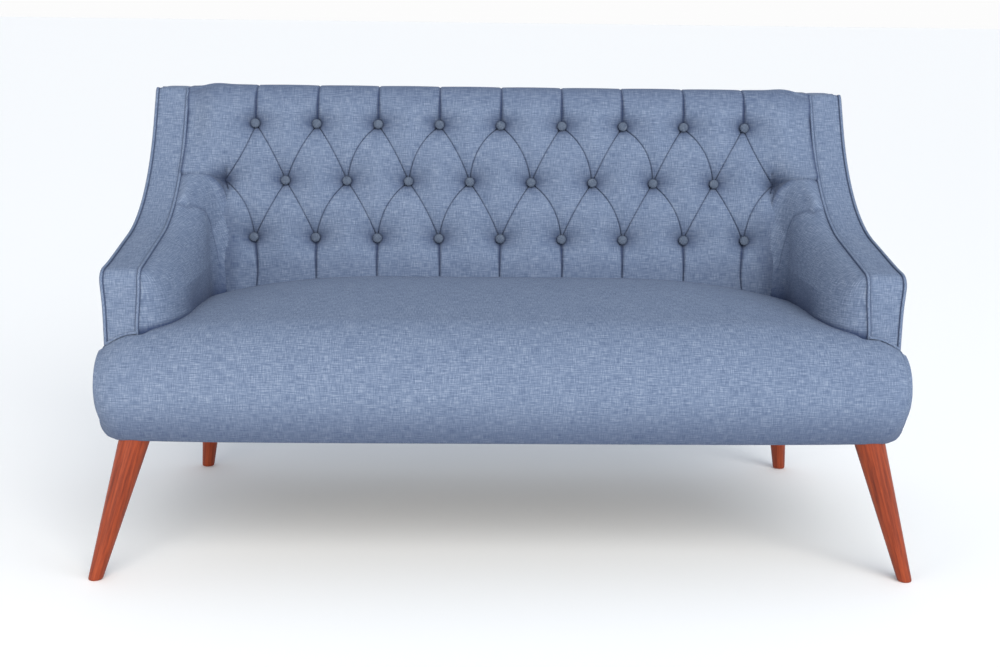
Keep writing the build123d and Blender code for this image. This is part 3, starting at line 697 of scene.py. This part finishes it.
def tufted_back(step=0.0022, pleat_near=0.0035, tuft_near=0.009):
    """Padded back: a flat grid divided finer beside its folds and buttons, then laid onto the padded face."""
    high = back_profile(back_line_step)[1][-1] - back_low
    across = np.linspace(-back_half, back_half, int(2 * back_half / step) + 1)
    up = np.linspace(-back_low, high, int((high + back_low) / step) + 1)
    u, v = np.meshgrid(across, up)
    mesh = grid_mesh("tufted_back", stacked(u, v, np.zeros(u.shape)))
    u, v = u.ravel(), v.ravel()
    near = (pleat_field(u, v)[0] < pleat_near) | (tuft_distance(u, v) < tuft_near)
    bm = bmesh.new()
    bm.from_mesh(mesh)
    edges = [e for e in bm.edges if near[e.verts[0].index] and near[e.verts[1].index]]
    bmesh.ops.subdivide_edges(bm, edges=edges, cuts=2, use_grid_fill=True)
    bm.to_mesh(mesh)
    bm.free()
    u, v, _ = read_points(mesh).astype(float).T
    points, painted_shade = back_surface(u, v)
    mesh.vertices.foreach_set("co", points.astype(np.float32).ravel())
    set_cloth(mesh, stacked(u, v, painted_shade))
    mesh.update()
    close_behind(mesh, back_depth)
    shade_smooth(mesh)
    return link("tufted_back", mesh)


back = dress(tufted_back(), "upholstery", "tufted_back_pad", "back_top_border")


# Covered buttons

button_radius = 0.0088
button_sink = 0.0062
button_turns = 40
button_tilt = 0.10
# Half section of a button from its flat side to the middle of its dome, in radii
button_outline = ((0.0, 0.0), (0.6, 0.0), (0.93, 0.06), (1.0, 0.22), (0.985, 0.34), (0.90, 0.46),
                  (0.74, 0.56), (0.52, 0.64), (0.28, 0.685), (0.10, 0.70), (0.0, 0.70))


def covered_buttons():
    """Domed buttons with a rolled rim, each turned and tilted a little in its own way, with painted shade on
    the rim and flat side.
    """
    rows, cloth = [], []
    angle = ring(button_turns)
    for r, h in button_outline:
        reach = max(r, 0.002) * button_radius
        x, y = reach * np.cos(angle), reach * np.sin(angle)
        rows.extend(stacked(x, y, np.full(button_turns, h * button_radius)))
        # Painted shade: the rim and flat side of each button are half dark
        cloth.extend(stacked(x, y, np.full(button_turns, 0.5 if h < 0.2 else 0.0)))
    faces_each = grid_faces(len(button_outline), button_turns, wrap=True, caps=True)
    lie = Matrix((Vector((1, 0, 0)), up_slope, to_sitter)).transposed()
    points, faces, places = [], [], []
    for n, middle in enumerate(button_middles):
        spin = Matrix.Rotation(0.7 * n, 3, "Z")
        nod = Matrix.Rotation(button_tilt * math.sin(1.7 * n), 3, "X")
        tilt = nod @ Matrix.Rotation(button_tilt * math.cos(2.3 * n), 3, "Y")
        foot = middle - to_sitter * button_sink
        faces.extend(tuple(len(points) + i for i in face) for face in faces_each)
        points.extend(foot + lie @ (tilt @ (spin @ Vector(p))) for p in rows)
        places.extend((c[0] + 0.05 * n, c[1], c[2]) for c in cloth)
    return link("covered_buttons", new_mesh("covered_buttons", points, faces, places))


dress(covered_buttons(), "button_cloth", "tufting_buttons")


# Seat

seat_half = seat_high.x
seat_end_radius = 0.060
seat_toe_radius = 0.052
seat_inner_radius = 0.012
seat_rear_y = 0.165
seat_crown_z = seat_high.z
seat_rear_drop = 0.008
seat_flat_half = 0.200
seat_rear_fall, seat_rear_curve = 0.095, 2.4
seat_brow_fall, seat_brow_curve = 0.031, 3.0
seat_front_y = seat_low.y
seat_brow_y, seat_brow_z = -0.242, 0.441
seat_nose_z = 0.326
seat_toe_y = -0.318
seat_toe_lift = 0.0085
seat_tuck_y = -0.306
seat_seam_x = 0.6715
seat_seam_radius = 0.0014
seat_seam_sink = 0.0012
# Points along a profile: over the top, down the front, and all those that face up
crown_count, front_count, upper_count = 90, 60, 110
# Middle and radius of the round that the cloth follows over the front
round_y, round_z, round_radius = -0.215, 0.318, 0.125


def arc_through(a, b, c, count):
    """Points of the arc from a through b to c."""
    ux, uy, vx, vy = b[0] - a[0], b[1] - a[1], c[0] - a[0], c[1] - a[1]
    u, v, d = ux * ux + uy * uy, vx * vx + vy * vy, 2 * (ux * vy - uy * vx)
    x, y = a[0] + (vy * u - uy * v) / d, a[1] + (ux * v - vx * u) / d
    angles = np.unwrap([math.atan2(p[1] - y, p[0] - x) for p in (a, b, c)])
    turn = np.linspace(angles[0], angles[2], count)
    radius = math.hypot(a[0] - x, a[1] - y)
    return stacked(x + radius * np.cos(turn), y + radius * np.sin(turn))


def seat_draw(x, half, radius):
    """How far the seat's end is drawn in at a position across it."""
    edge = min(max(half - abs(x), 0.0), radius)
    return radius - math.sqrt(max(radius ** 2 - (radius - edge) ** 2, 0.0))


def seat_profile(x, half, radius):
    """Side-view points of the seat at a position across it, from the rear over the crown to the toe."""
    draw = seat_draw(x, half, radius)
    out = max(abs(x) - seat_flat_half, 0.0) / (seat_half - seat_flat_half)
    rear_fall = seat_rear_fall * out ** seat_rear_curve + draw
    brow_fall = seat_brow_fall * out ** seat_brow_curve + draw
    rear = (seat_rear_y, seat_crown_z - seat_rear_drop - rear_fall)
    crown = ((seat_rear_y + seat_brow_y) / 2, seat_crown_z - (rear_fall + brow_fall) / 2)
    brow = (seat_brow_y + draw / 2, seat_brow_z - brow_fall)
    tip_draw = seat_draw(x, half, min(radius, seat_toe_radius))
    nose = (seat_front_y + 0.8 * tip_draw, seat_nose_z - tip_draw / 4)
    toe = (seat_toe_y + tip_draw, body_low_z + tip_draw + seat_toe_lift * (abs(x) / seat_half) ** 6)
    return np.concatenate([arc_through(rear, crown, brow, crown_count),
                           arc_through(brow, nose, toe, front_count)[1:]])


def seat_body(name, half, rear, radius):
    """Closed form of the seat out to a half width and back to a depth."""
    edge = radius * (1.0 - np.cos(np.linspace(0.0, math.pi / 2, 14)))
    stations = np.concatenate([-half + edge[:-1], np.linspace(-half + radius, half - radius, 110),
                               half - edge[:-1][::-1]])
    at = np.linspace(0.0, 1.0, 90)
    rows = []
    for x in stations:
        profile = seat_profile(x, half, radius)
        top = np.interp(rear, profile[::-1, 0], profile[::-1, 1]) if rear < seat_rear_y else profile[0, 1]
        upper, _ = even(np.concatenate([[(rear, top)], profile[profile[:, 0] < rear - 1e-4]]), 0.006)
        spread = np.linspace(0, 1, len(upper))
        upper = np.stack([np.interp(at, spread, upper[:, i]) for i in (0, 1)], axis=1)
        toe_y, toe_z = upper[-1]
        tuck_z = body_low_z + 0.6 * seat_draw(x, half, min(radius, seat_toe_radius))
        tuck = (max(seat_tuck_y, toe_y + 0.004), tuck_z)
        to_tuck = np.linspace((toe_y, toe_z), tuck, 6)[1:]
        under = np.linspace(tuck, (rear, tuck_z), 26)[1:]
        behind = np.linspace((rear, tuck_z), (rear, top), 14)[1:-1]
        section = np.concatenate([upper, to_tuck, under, behind])
        rows.append(stacked(np.full(len(section), x), section[:, 0], section[:, 1]))
    return grid_mesh(name, np.array(rows), wrap=True, caps=True)


def seat_top(x, y):
    """Height of the seat's upper side at a place."""
    upper = seat_profile(x, seat_half, seat_end_radius)[:upper_count]
    return float(np.interp(y, upper[::-1, 0], upper[::-1, 1]))


def seat_cloth(points):
    """Cloth place of points on the seat: across it, and along its side profile, with painted shade under the
    front and close to the arms and back.
    """
    x, y, z = points.T
    round_front = round_radius * np.arctan2(z - round_z, np.maximum(round_y - y, 1e-4))
    flat_top = round_radius * math.pi / 2 + (y - round_y)
    along = np.where(y < round_y, round_front, flat_top)
    side_gap = np.maximum(inner_x - pad_reach(y) - np.abs(x), 0.0)
    back_gap = np.maximum(back_front(z) - y, 0.0)
    on_top = (y > arm_front_y) & (z > 0.36)
    # Painted shade: darker down the front towards the floor, and on top close to the arm pads and the back
    shade = deepest(0.52 * falling(z, seat_nose_z + 0.010, 0.09) * falling(y, -0.20, 0.05),
                    on_top * 0.50 * fade(side_gap, 0.011),
                    on_top * 0.34 * fade(back_gap, 0.013))
    at_end = np.abs(x) > seat_seam_x
    return stacked(np.where(at_end, y, x), np.where(at_end, z, along), shade)


def remeshed(meshes, name, voxel, rounds):
    """One closed skin round several closed meshes, relaxed so that its edges are soft."""
    joined = bmesh.new()
    for mesh in meshes:
        joined.from_mesh(mesh)
    mesh = bpy.data.meshes.new(name)
    joined.to_mesh(mesh)
    joined.free()
    obj = link(name, mesh)
    skin = obj.modifiers.new("skin", "REMESH")
    skin.mode, skin.voxel_size, skin.use_smooth_shade = "VOXEL", voxel, True
    relax = obj.modifiers.new("relax", "SMOOTH")
    relax.factor, relax.iterations = 0.5, rounds
    made = bpy.data.meshes.new_from_object(obj.evaluated_get(bpy.context.evaluated_depsgraph_get()))
    obj.modifiers.clear()
    obj.data = made
    return obj


def seat():
    """Seat between the arms, joined with the wider roll in front of them."""
    main = seat_body("seat_main", inner_x - 0.001, seat_rear_y, seat_inner_radius)
    front = seat_body("seat_front", seat_half, arm_front_y - 0.002, seat_end_radius)
    obj = remeshed([main, front], "seat_cushion", voxel=0.005, rounds=6)
    set_cloth(obj.data, seat_cloth(read_points(obj.data)))
    shade_smooth(obj.data)
    return obj


# Arms: bands, piping, pads and outside panels

welt_radius = 0.0031
welt_sink = 0.0006
welt_tail_sink, welt_tail_start, welt_tail_run = 0.0036, 0.002, 0.015
face_narrowing = 0.006
face_narrow_z, face_full_z = 0.415, 0.505
nose_flare, nose_flare_reach, nose_flare_drop = 0.0030, 0.035, 0.010
foot_welt_radius, foot_welt_out, foot_welt_rise = 0.0028, 0.0022, 0.0010
band_end_y = rear_y - 0.001
band_margin = 0.0045
band_crown, band_dip, band_depth = 0.0026, 0.0015, 0.004


def inner_shift(line):
    """How far the inner edge of the arm's front face stands outward, low down on the face."""
    on_face = 1.0 - rising(line[:, 0], arm_front_y, 0.010)
    return face_narrowing * on_face * (1.0 - rising(line[:, 1], face_narrow_z, face_full_z - face_narrow_z))


def outer_shift(line):
    """How far the outer edge of the arm flares out round its nose."""
    gap = np.hypot(line[:, 0] - arm_front_y, line[:, 1] - (arm_front_z - nose_flare_drop))
    return nose_flare * bell(gap, nose_flare_reach)


def band(side, sign):
    """Padded strip over the front, top and wing of an arm, a little crowned between its two pipings."""
    line, along = arm_outline(0.0, felt_z - 0.02, band_end_y)
    tangent = unit_tangent(line)
    outward = stacked(-tangent[:, 1], tangent[:, 0])
    lows, highs = inner_x + band_margin + inner_shift(line), outer_x - band_margin + outer_shift(line)
    t = np.linspace(0.0, 1.0, 31)
    crown = band_crown * (1.0 - (2.0 * t - 1.0) ** 4) - band_dip
    rows, cloth = [], []
    for p, o, s, low, high in zip(line, outward, along, lows, highs):
        x = low + (high - low) * t
        top = [(sign * xi, p[0] + o[0] * c, p[1] + o[1] * c) for xi, c in zip(x, crown)]
        under = [(sign * xi, p[0] - o[0] * band_depth, p[1] - o[1] * band_depth) for xi in x[::-1]]
        rows.append(top + under)
        # Painted shade: dark lines along both pipings; the hidden underside half dark
        painted_shade = 0.9 * bell(np.minimum(t, 1.0 - t) * (high - low), 0.0022)
        cloth.append([(xi, s, f) for xi, f in zip(x, painted_shade)] + [(xi, s, 0.5) for xi in x[::-1]])
    return grid_piece(f"{side}_arm_band_cover", rows, cloth, wrap=True, caps=True, flip=sign < 0)


def tube(name, path, radius, sides_round=14, sunk_side_shade=0.0):
    """Round piping along a path of points, with its cloth laid along it and painted shade on the side where
    it is sunk in.
    """
    across, upright = np.array([1.0, 0.0, 0.0]), np.array([0.0, 1.0, 0.0])
    angle = ring(sides_round)
    # Painted shade on the sunk side of the piping
    painted_shade = sunk_side_shade * rising(np.sin(angle), -0.88, 0.38)
    rows, cloth = [], []
    for p, t, s in zip(path, unit_tangent(path), way_along(path)):
        a = across - t * (across @ t)
        if np.linalg.norm(a) < 0.2:
            a = upright - t * t[1]
        a /= np.linalg.norm(a)
        b = np.cross(t, a)
        rows.append(p + radius * (np.cos(angle)[:, None] * a + np.sin(angle)[:, None] * b))
        cloth.append(stacked(s + radius * angle, s * 0.7 - radius * angle, painted_shade))
    return grid_piece(name, rows, cloth, wrap=True, caps=True)


def piping(side, sign, place, x, bottom_z, shift):
    """Piping along one edge of an arm's band, its tail sunk behind the top of the wing."""
    line, _ = arm_outline(welt_sink, bottom_z, band_end_y)
    tail = welt_tail_sink * smooth((line[:, 0] - wing_top_y - welt_tail_start) / welt_tail_run)
    path = stacked(sign * (x + shift(line)), line[:, 0], line[:, 1] - tail)
    return tube(f"{side}_{place}_piping", path, welt_radius, 18, sunk_side_shade=0.9)


def foot_piping(side, sign):
    """Piping along the foot of an arm's front face, where it stands on the seat."""
    y = arm_front_y - foot_welt_out
    x = np.linspace(inner_x + welt_radius + face_narrowing, outer_x - 0.004, 40)
    path = np.array([(sign * xi, y, seat_top(xi, y) + foot_welt_rise) for xi in x])
    return tube(f"{side}_foot_piping", path, foot_welt_radius)


pad_start = 0.0015
pad_end_y, pad_step = 0.215, 0.0023
pad_bulge, pad_rear_bulge = 0.060, 0.055
pad_run = 0.125
pad_lip_x = inner_x + 0.0045
pad_sink = 0.0012
pad_cap_z, pad_cap_spare = 0.648, 0.014
pad_foot_z = 0.345
pad_hollow = 0.004
pad_square, pad_rear_square = 2.2, 0.6
corner_x = 0.521
corner_radius = 0.046
corner_rise = 0.024
hump_top_z, hump_low_z, hump_square = 0.652, 0.556, 2.4
beside_wing_x = 0.545
# Creases of an arm pad as places on its cloth: depth, and the way down from its piping
upper_fold = np.array([(0.056, 0.0), (0.062, 0.030), (0.080, 0.056), (0.100, 0.086), (0.112, 0.125),
                       (0.112, 0.165), (0.108, 0.210), (0.104, 0.260)])
corner_fold = np.array([(0.165, 0.095), (0.158, 0.115), (0.145, 0.128), (0.127, 0.130), (0.114, 0.135)])


def back_front(z):
    """Depth of the padded back's face beside the arms at a height, with its pleats left out."""
    return tuft_origin.y + (z - tuft_origin.z) * math.tan(recline) - corner_rise / math.cos(recline)


def pad_reach(y):
    """How far the arm pad bulges in from the arm at a depth."""
    near = np.clip((y - arm_front_y - pad_start) / pad_run, 0.0, 1.0)
    bulge = pad_bulge * np.sqrt(1.0 - (1.0 - near) ** 2)
    return bulge - (pad_bulge - pad_rear_bulge) * rising(y, -0.02, 0.12)


def pad_section(y):
    """Bulge, top height and squareness of the arm pad at a depth."""
    top = float(arm_top(y)) - pad_sink
    if top > pad_cap_z - pad_cap_spare:
        top = pad_cap_z - pad_cap_spare * math.exp((pad_cap_z - pad_cap_spare - top) / pad_cap_spare)
    return float(pad_reach(y)), top, pad_square + pad_rear_square * float(rising(y, 0.03, 0.13))


def rolled(reach, top, drop, square, turn, fall):
    """Roll from the piping over to a pad's upright side, and the heights of that side down to its foot."""
    x = pad_lip_x - reach * np.sin(turn) ** (2.0 / square)
    z = top - drop + drop * np.cos(turn) ** (2.0 / square)
    return x, z, z[-1] + (pad_foot_z - z[-1]) * fall


def pad_shade(y, xs, zs, along, upper, corner, to_back):
    """Painted shade of a pad's cloth beside its piping, in its creases, above the seat and towards the back.
    """
    over_seat = np.array([z - seat_top(x, y) if z < 0.48 else 1.0 for x, z in zip(xs, zs)])
    over_seat = np.maximum(over_seat, 0.0)
    pad_lip_shade = 0.95 * (1.0 - float(rising(y, 0.085, 0.03)))
    pad_corner_shade = 0.10 + 0.56 * falling(zs, 0.485, 0.10)
    return deepest(pad_lip_shade * bell(along, 0.0042),
                   0.46 * bell(upper, 0.0022),
                   0.25 * bell(corner, 0.003),
                   0.92 * bell(over_seat, 0.007),
                   0.92 * fade(over_seat, 0.045) * smooth((y - arm_front_y - 0.03) / 0.12),
                   pad_corner_shade * (bell(to_back, 0.075) * falling(zs, 0.60, 0.13)),
                   0.5 * (bell(to_back, 0.003) * rising(zs, 0.58, 0.03)))


def arm_pad(side, sign):
    """Padding of the inner arm, rolled over from its piping, that turns into the back with soft folds."""
    turn = np.linspace(0.0, math.pi / 2, 72)
    fall = np.linspace(0.0, 1.0, 92)[1:]
    hump = rolled(pad_lip_x - corner_x, hump_top_z, hump_top_z - hump_low_z, hump_square, turn, fall)
    corner_line_x = np.concatenate([hump[0], np.full(len(fall), corner_x)])
    corner_line_z = np.concatenate(hump[1:])
    rows, cloth = [], []
    for y in np.arange(arm_front_y + pad_start, pad_end_y, pad_step):
        bulge, top, square = pad_section(y)
        reach = bulge + 0.0045 * float(rising(y, arm_front_y, 0.02))
        arc_x, arc_z, wall_z = rolled(reach, top, 0.055 + 0.6 * bulge, square, turn, fall)
        wall_x = arc_x[-1] - pad_hollow * np.sin(np.pi * fall)
        xs, zs = np.concatenate([arc_x, wall_x]), np.concatenate([arc_z, wall_z])
        face_line = stacked(np.full(len(zs), arm_front_y), zs)
        xs = xs + inner_shift(face_line) * (1.0 - rising(y, arm_front_y, 0.04))

        # Close to the back the section wraps over into the corner's own
        beside_wing = rising(xs, beside_wing_x, pad_lip_x - beside_wing_x)
        wing_y = wing_edge(np.maximum(zs, 0.6)) + 0.004
        contact = back_front(zs) * (1.0 - beside_wing) + wing_y * beside_wing
        close = 1.0 - np.clip((contact - y) / corner_radius, 0.0, 1.0)
        wrap = (1.0 - np.sqrt(np.maximum(1.0 - close ** 2, 0.0))) * falling(xs, pad_lip_x, 0.028)
        xs, zs = xs + (corner_line_x - xs) * wrap, zs + (corner_line_z - zs) * wrap

        # The creases press it in along its own normal
        along = np.concatenate([[0.0], np.cumsum(np.hypot(np.diff(xs), np.diff(zs)))])
        here = np.full(len(xs), y)
        upper, corner = (path_distance(path, here, along)[0] for path in (upper_fold, corner_fold))
        dent = 0.0032 * fade(upper, 0.012) + 0.0012 * bell(upper, 0.0026)
        dent += 0.0022 * fade(corner, 0.010)
        out_x, out_z = np.gradient(zs), -np.gradient(xs)
        size = np.maximum(np.hypot(out_x, out_z), 1e-6)
        lift = -dent * rising(along, 0.004, 0.015)
        xs, zs = xs + lift * out_x / size, zs + lift * out_z / size

        painted_shade = pad_shade(y, xs, zs, along, upper, corner, np.maximum(contact - y, 0.0))
        level = zs[-1] + along[-1] - along
        depths = np.append(here, y)
        rows.append(stacked(sign * np.append(xs, pad_lip_x + 0.008), depths, np.append(zs, pad_foot_z)))
        cloth.append(stacked(depths, np.append(level, level[-1]), np.append(painted_shade, 0.0)))
    return grid_piece(f"{side}_arm_padding", rows, cloth, wrap=True, caps=True, flip=sign < 0)


cloth_thickness = 0.0012
cover_clear = 0.0007
hem_depth = 0.006
hem_shade_reach = 0.003
panel_foot_rise = 0.035
panel_corner_rise = 0.012
panel_full, panel_full_reach = 0.0024, 0.035


def hemmed(grid, turn=(0.0, 0.0, 0.0)):
    """Grid with one more ring of points round it, turned in from its edge."""
    wide = np.pad(grid, ((1, 1), (1, 1), (0, 0)), mode="edge")
    rim = np.ones(wide.shape[:2], bool)
    rim[1:-1, 1:-1] = False
    wide[rim] += np.array(turn)
    return wide


def declare_sheet(panel):
    """Gives a stretched cover its cloth thickness."""
    thick = panel.modifiers.new("cloth thickness", "SOLIDIFY")
    thick.thickness, thick.offset = cloth_thickness, 0.0


def outside_panel(side, sign):
    """Cloth over the outer arm board, a little full, its hem turned in along its edges."""
    outline, _ = arm_outline(0.002, body_low_z + panel_foot_rise + 0.004, rear_y - 0.0005)
    foot_rise = panel_corner_rise * (1.0 - smooth((outline[:, 0] - arm_front_y - 0.002) / 0.006))
    low_z = body_low_z + cover_clear + foot_rise
    keep = np.concatenate([[True], np.diff(outline[:, 0]) > 1e-5])
    outline, low_z = outline[keep], low_z[keep]
    up = np.linspace(0.0, 1.0, 60)
    y = np.repeat(outline[:, :1], len(up), axis=1)
    z = low_z[:, None] + (outline[:, 1] - low_z)[:, None] * up
    inside = np.minimum.reduce([y - y.min(), y.max() - y, z - z[:, :1], z[:, -1:] - z])
    x = outer_x - 0.0016 + panel_full * (1.0 - fade(inside, panel_full_reach))
    points = hemmed(stacked(sign * x, y, z), (-sign * hem_depth, 0.0, 0.0))
    # Painted shade along the turned-in hem
    cloth = hemmed(stacked(y, z, 0.5 * fade(inside, hem_shade_reach)))
    panel = grid_piece(f"{side}_outside_cover", points, cloth, flip=sign > 0)
    declare_sheet(panel)
    return panel


for side, sign in sides:
    strip = dress(band(side, sign), "upholstery", f"{side}_arm_band")
    inner = piping(side, sign, "inner", inner_x + welt_radius, felt_z - 0.01, inner_shift)
    dress(inner, "piping", f"{side}_inner_welt")
    outer = piping(side, sign, "outer", outer_x - welt_radius, body_low_z + panel_foot_rise, outer_shift)
    dress(outer, "piping", f"{side}_outer_welt")
    dress(foot_piping(side, sign), "piping")
    pad = dress(arm_pad(side, sign), "upholstery", f"{side}_arm_pad")
    dress(outside_panel(side, sign), "upholstery", f"{side}_outside_arm_panel")


def seat_seam(side, sign):
    """Seam round a rounded end of the seat, from under the arm over the front roll to the toe."""
    profile = seat_profile(seat_seam_x, seat_half, seat_end_radius)
    path, _ = even(profile[profile[:, 0] < arm_front_y - 0.004], 0.004)
    points = stacked(np.full(len(path), sign * seat_seam_x), path[:, 0] + seat_seam_sink, path[:, 1])
    return tube(f"{side}_seat_seam", points, seat_seam_radius, 8)


for side, sign in sides:
    dress(seat_seam(side, sign), "piping")
cushion = dress(seat(), "upholstery", "seat_cover", "seat_foam", "seat_edge_roll")


# Outside back

def outside_back():
    """Cloth over the back rails and the rear edges of the arms, a little full."""
    half, low, high = outer_x - 0.0006, body_low_z + cover_clear, wing_top_z - 0.001
    xs, zs = np.meshgrid(np.linspace(-half, half, 150), np.linspace(low, high, 70))
    inside = np.minimum.reduce([xs + half, half - xs, zs - low, high - zs])
    y = rear_y + 0.0006 + 0.004 * (1.0 - fade(inside, 0.05))
    points = hemmed(stacked(xs, y, zs), (0.0, -hem_depth, 0.0))
    # Painted shade along the turned-in hem
    cloth = hemmed(stacked(xs, zs, 0.4 * fade(inside, hem_shade_reach)))
    cover = grid_piece("outside_back_cover", points, cloth, flip=True)
    declare_sheet(cover)
    return cover


dress(outside_back(), "upholstery", "outside_back_panel")


# Dust cover under the frame

dust_inset = 0.004
dust_narrowing = 0.045
dust_sag, dust_ripple = 0.0035, 0.0004


def dust_sheet():
    """Spun cloth under the seat, hanging a little between the rails."""
    low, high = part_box("dust_cover")
    x = np.linspace(low.x + dust_inset, high.x - dust_inset, 130)
    y = np.linspace(low.y + dust_inset, high.y - dust_inset, 64)
    xs, ys = np.meshgrid(x, y)
    inside = np.minimum.reduce([xs - x[0], x[-1] - xs, ys - y[0], y[-1] - ys])
    xs = xs * (1.0 - dust_narrowing * (1.0 - smooth((ys - arm_front_y + 0.01) / 0.03)))
    sag = dust_sag * (1.0 - fade(np.maximum(inside - 0.03, 0.0), 0.06))
    ripple = dust_ripple * np.sin(xs * 41.0 + 3.0 * np.sin(ys * 17.0)) * smooth(inside / 0.05)
    points = stacked(xs, ys, low.z + 0.0002 - sag - ripple)
    # Third value: painted shade towards the edges, which the dust cloth's material does not read
    cloth = stacked(xs, ys, 0.3 * fade(inside, 0.004))
    sheet = grid_piece("dust_cloth_sheet", points, cloth, flip=True)
    declare_sheet(sheet)
    return sheet


dress(dust_sheet(), "dust_cloth", "dust_cover")


# Legs

leg_top_radius, leg_foot_radius, leg_ease = 0.0265, 0.0124, 0.0030
leg_height = 0.24
leg_turns = 56
leg_end_layer = 0.0005


def turned_leg(name):
    """Round tapered leg with an eased foot, along the axis of the frame's own leg."""
    points = np.array([v.co for v in frame["nodes"][name].data.vertices], float)
    z = points[:, 2]
    high, foot = points[z > z.max() - leg_end_layer], points[z < z.min() + leg_end_layer]
    top_middle, foot_middle = (high.max(0) + high.min(0)) / 2, (foot.max(0) + foot.min(0)) / 2
    axis = top_middle - foot_middle
    stations = [(0.0, leg_foot_radius - leg_ease)]
    for a in np.linspace(0.2, 1.0, 5):
        c, s = math.cos(a * math.pi / 2), math.sin(a * math.pi / 2)
        stations.append((leg_ease * (1.0 - c) / leg_height, leg_foot_radius - leg_ease * (1.0 - s)))
    for t in np.linspace(0.03, 1.06, 42):
        stations.append((t, leg_foot_radius + (leg_top_radius - leg_foot_radius) * t))
    angle = ring(leg_turns)
    rows, cloth = [], []
    for t, r in stations:
        x, y = r * np.cos(angle), r * np.sin(angle)
        middle = foot_middle + axis * t
        rows.append(stacked(middle[0] + x, middle[1] + y, np.full(leg_turns, middle[2])))
        cloth.append(stacked(x, np.full(leg_turns, t * 0.25), y))
    return grid_piece(f"{name}_turned", rows, cloth, wrap=True, caps=True)


for end in ("front", "rear"):
    for side, sign in sides:
        dress(turned_leg(f"{end}_{side}_leg"), "leg_wood", f"{end}_{side}_leg")


# Floor, light and camera

zenith_light = (0.485, 0.545, 0.63)
horizon_light = (0.975, 0.975, 0.975)
front_light, front_light_spread = 2.30, math.radians(50.0)
front_light_aim = (-0.20, 0.85, -0.58)
front_light_colour = (1.0, 0.965, 0.905)
floor_colour = (0.985, 0.977, 0.965, 1.0)
floor_reach = 200.0


def floor():
    corners = [(x * floor_reach, y * floor_reach, 0) for x, y in ((-1, -1), (1, -1), (1, 1), (-1, 1))]
    mesh = bpy.data.meshes.new("floor")
    mesh.from_pydata(corners, [], [(0, 1, 2, 3)])
    obj = link("floor", mesh)
    material, _, shader = new_material("pale_floor")
    set_inputs(shader, Base_Color=floor_colour, Roughness=0.9)
    obj.data.materials.append(material)


def area_light(name, place, aim, size, power, colour):
    data = bpy.data.lights.new(name, "AREA")
    data.shape, data.size, data.size_y = "RECTANGLE", size[0], size[1]
    data.energy, data.color = power, colour
    obj = link(name, data)
    obj.location = place
    obj.rotation_euler = (Vector(aim) - Vector(place)).to_track_quat("-Z", "Y").to_euler()


def light():
    """Bright horizon, darker overhead, a broad soft light from the front right and two weaker ones."""
    world = bpy.data.worlds.new("studio")
    world.use_nodes = True
    tree = world.node_tree
    way = node(tree, "ShaderNodeTexCoord").outputs["Generated"]
    parts = node(tree, "ShaderNodeSeparateXYZ")
    tree.links.new(way, parts.inputs["Vector"])
    glow = ramp(tree, parts.outputs["Z"], [(0.22, horizon_light), (0.50, zenith_light)])
    tree.links.new(glow, tree.nodes["Background"].inputs["Color"])
    set_inputs(tree.nodes["Background"], Strength=1.0)
    bpy.context.scene.world = world
    sun = bpy.data.lights.new("front_light", "SUN")
    sun.energy, sun.angle, sun.color = front_light, front_light_spread, front_light_colour
    obj = link("front_light", sun)
    obj.rotation_euler = Vector(front_light_aim).to_track_quat("-Z", "Y").to_euler()
    area_light("left", place=(-1.8, -2.4, 0.6), aim=(-0.6, -0.3, 0.36), size=(1.2, 1.0), power=19.0,
               colour=(1.0, 0.93, 0.82))
    area_light("fill", place=(2.4, -2.1, 1.6), aim=(0.3, 0.1, 0.55), size=(1.8, 1.6), power=24.0,
               colour=(0.76, 0.88, 1.0))


camera_place = (-0.0743, -2.6587, 0.9445)
camera_turn, camera_tilt, camera_roll = -0.0272, 0.2147, 0.0126
image_width, focal_pixels = 1000.0, 1456.8


def camera():
    """Camera where the photograph was taken from."""
    data = bpy.data.cameras.new("camera")
    data.sensor_width = 36.0
    data.lens = data.sensor_width * focal_pixels / image_width
    obj = link("camera", data)
    upright = Matrix.Rotation(camera_turn, 3, "Z") @ Matrix.Rotation(math.pi / 2 - camera_tilt, 3, "X")
    look = upright @ Matrix.Rotation(camera_roll, 3, "Z")
    obj.matrix_world = Matrix.Translation(camera_place) @ look.to_4x4()
    bpy.context.scene.camera = obj


floor()
light()
camera()
bpy.context.scene.view_settings.view_transform = "Standard"
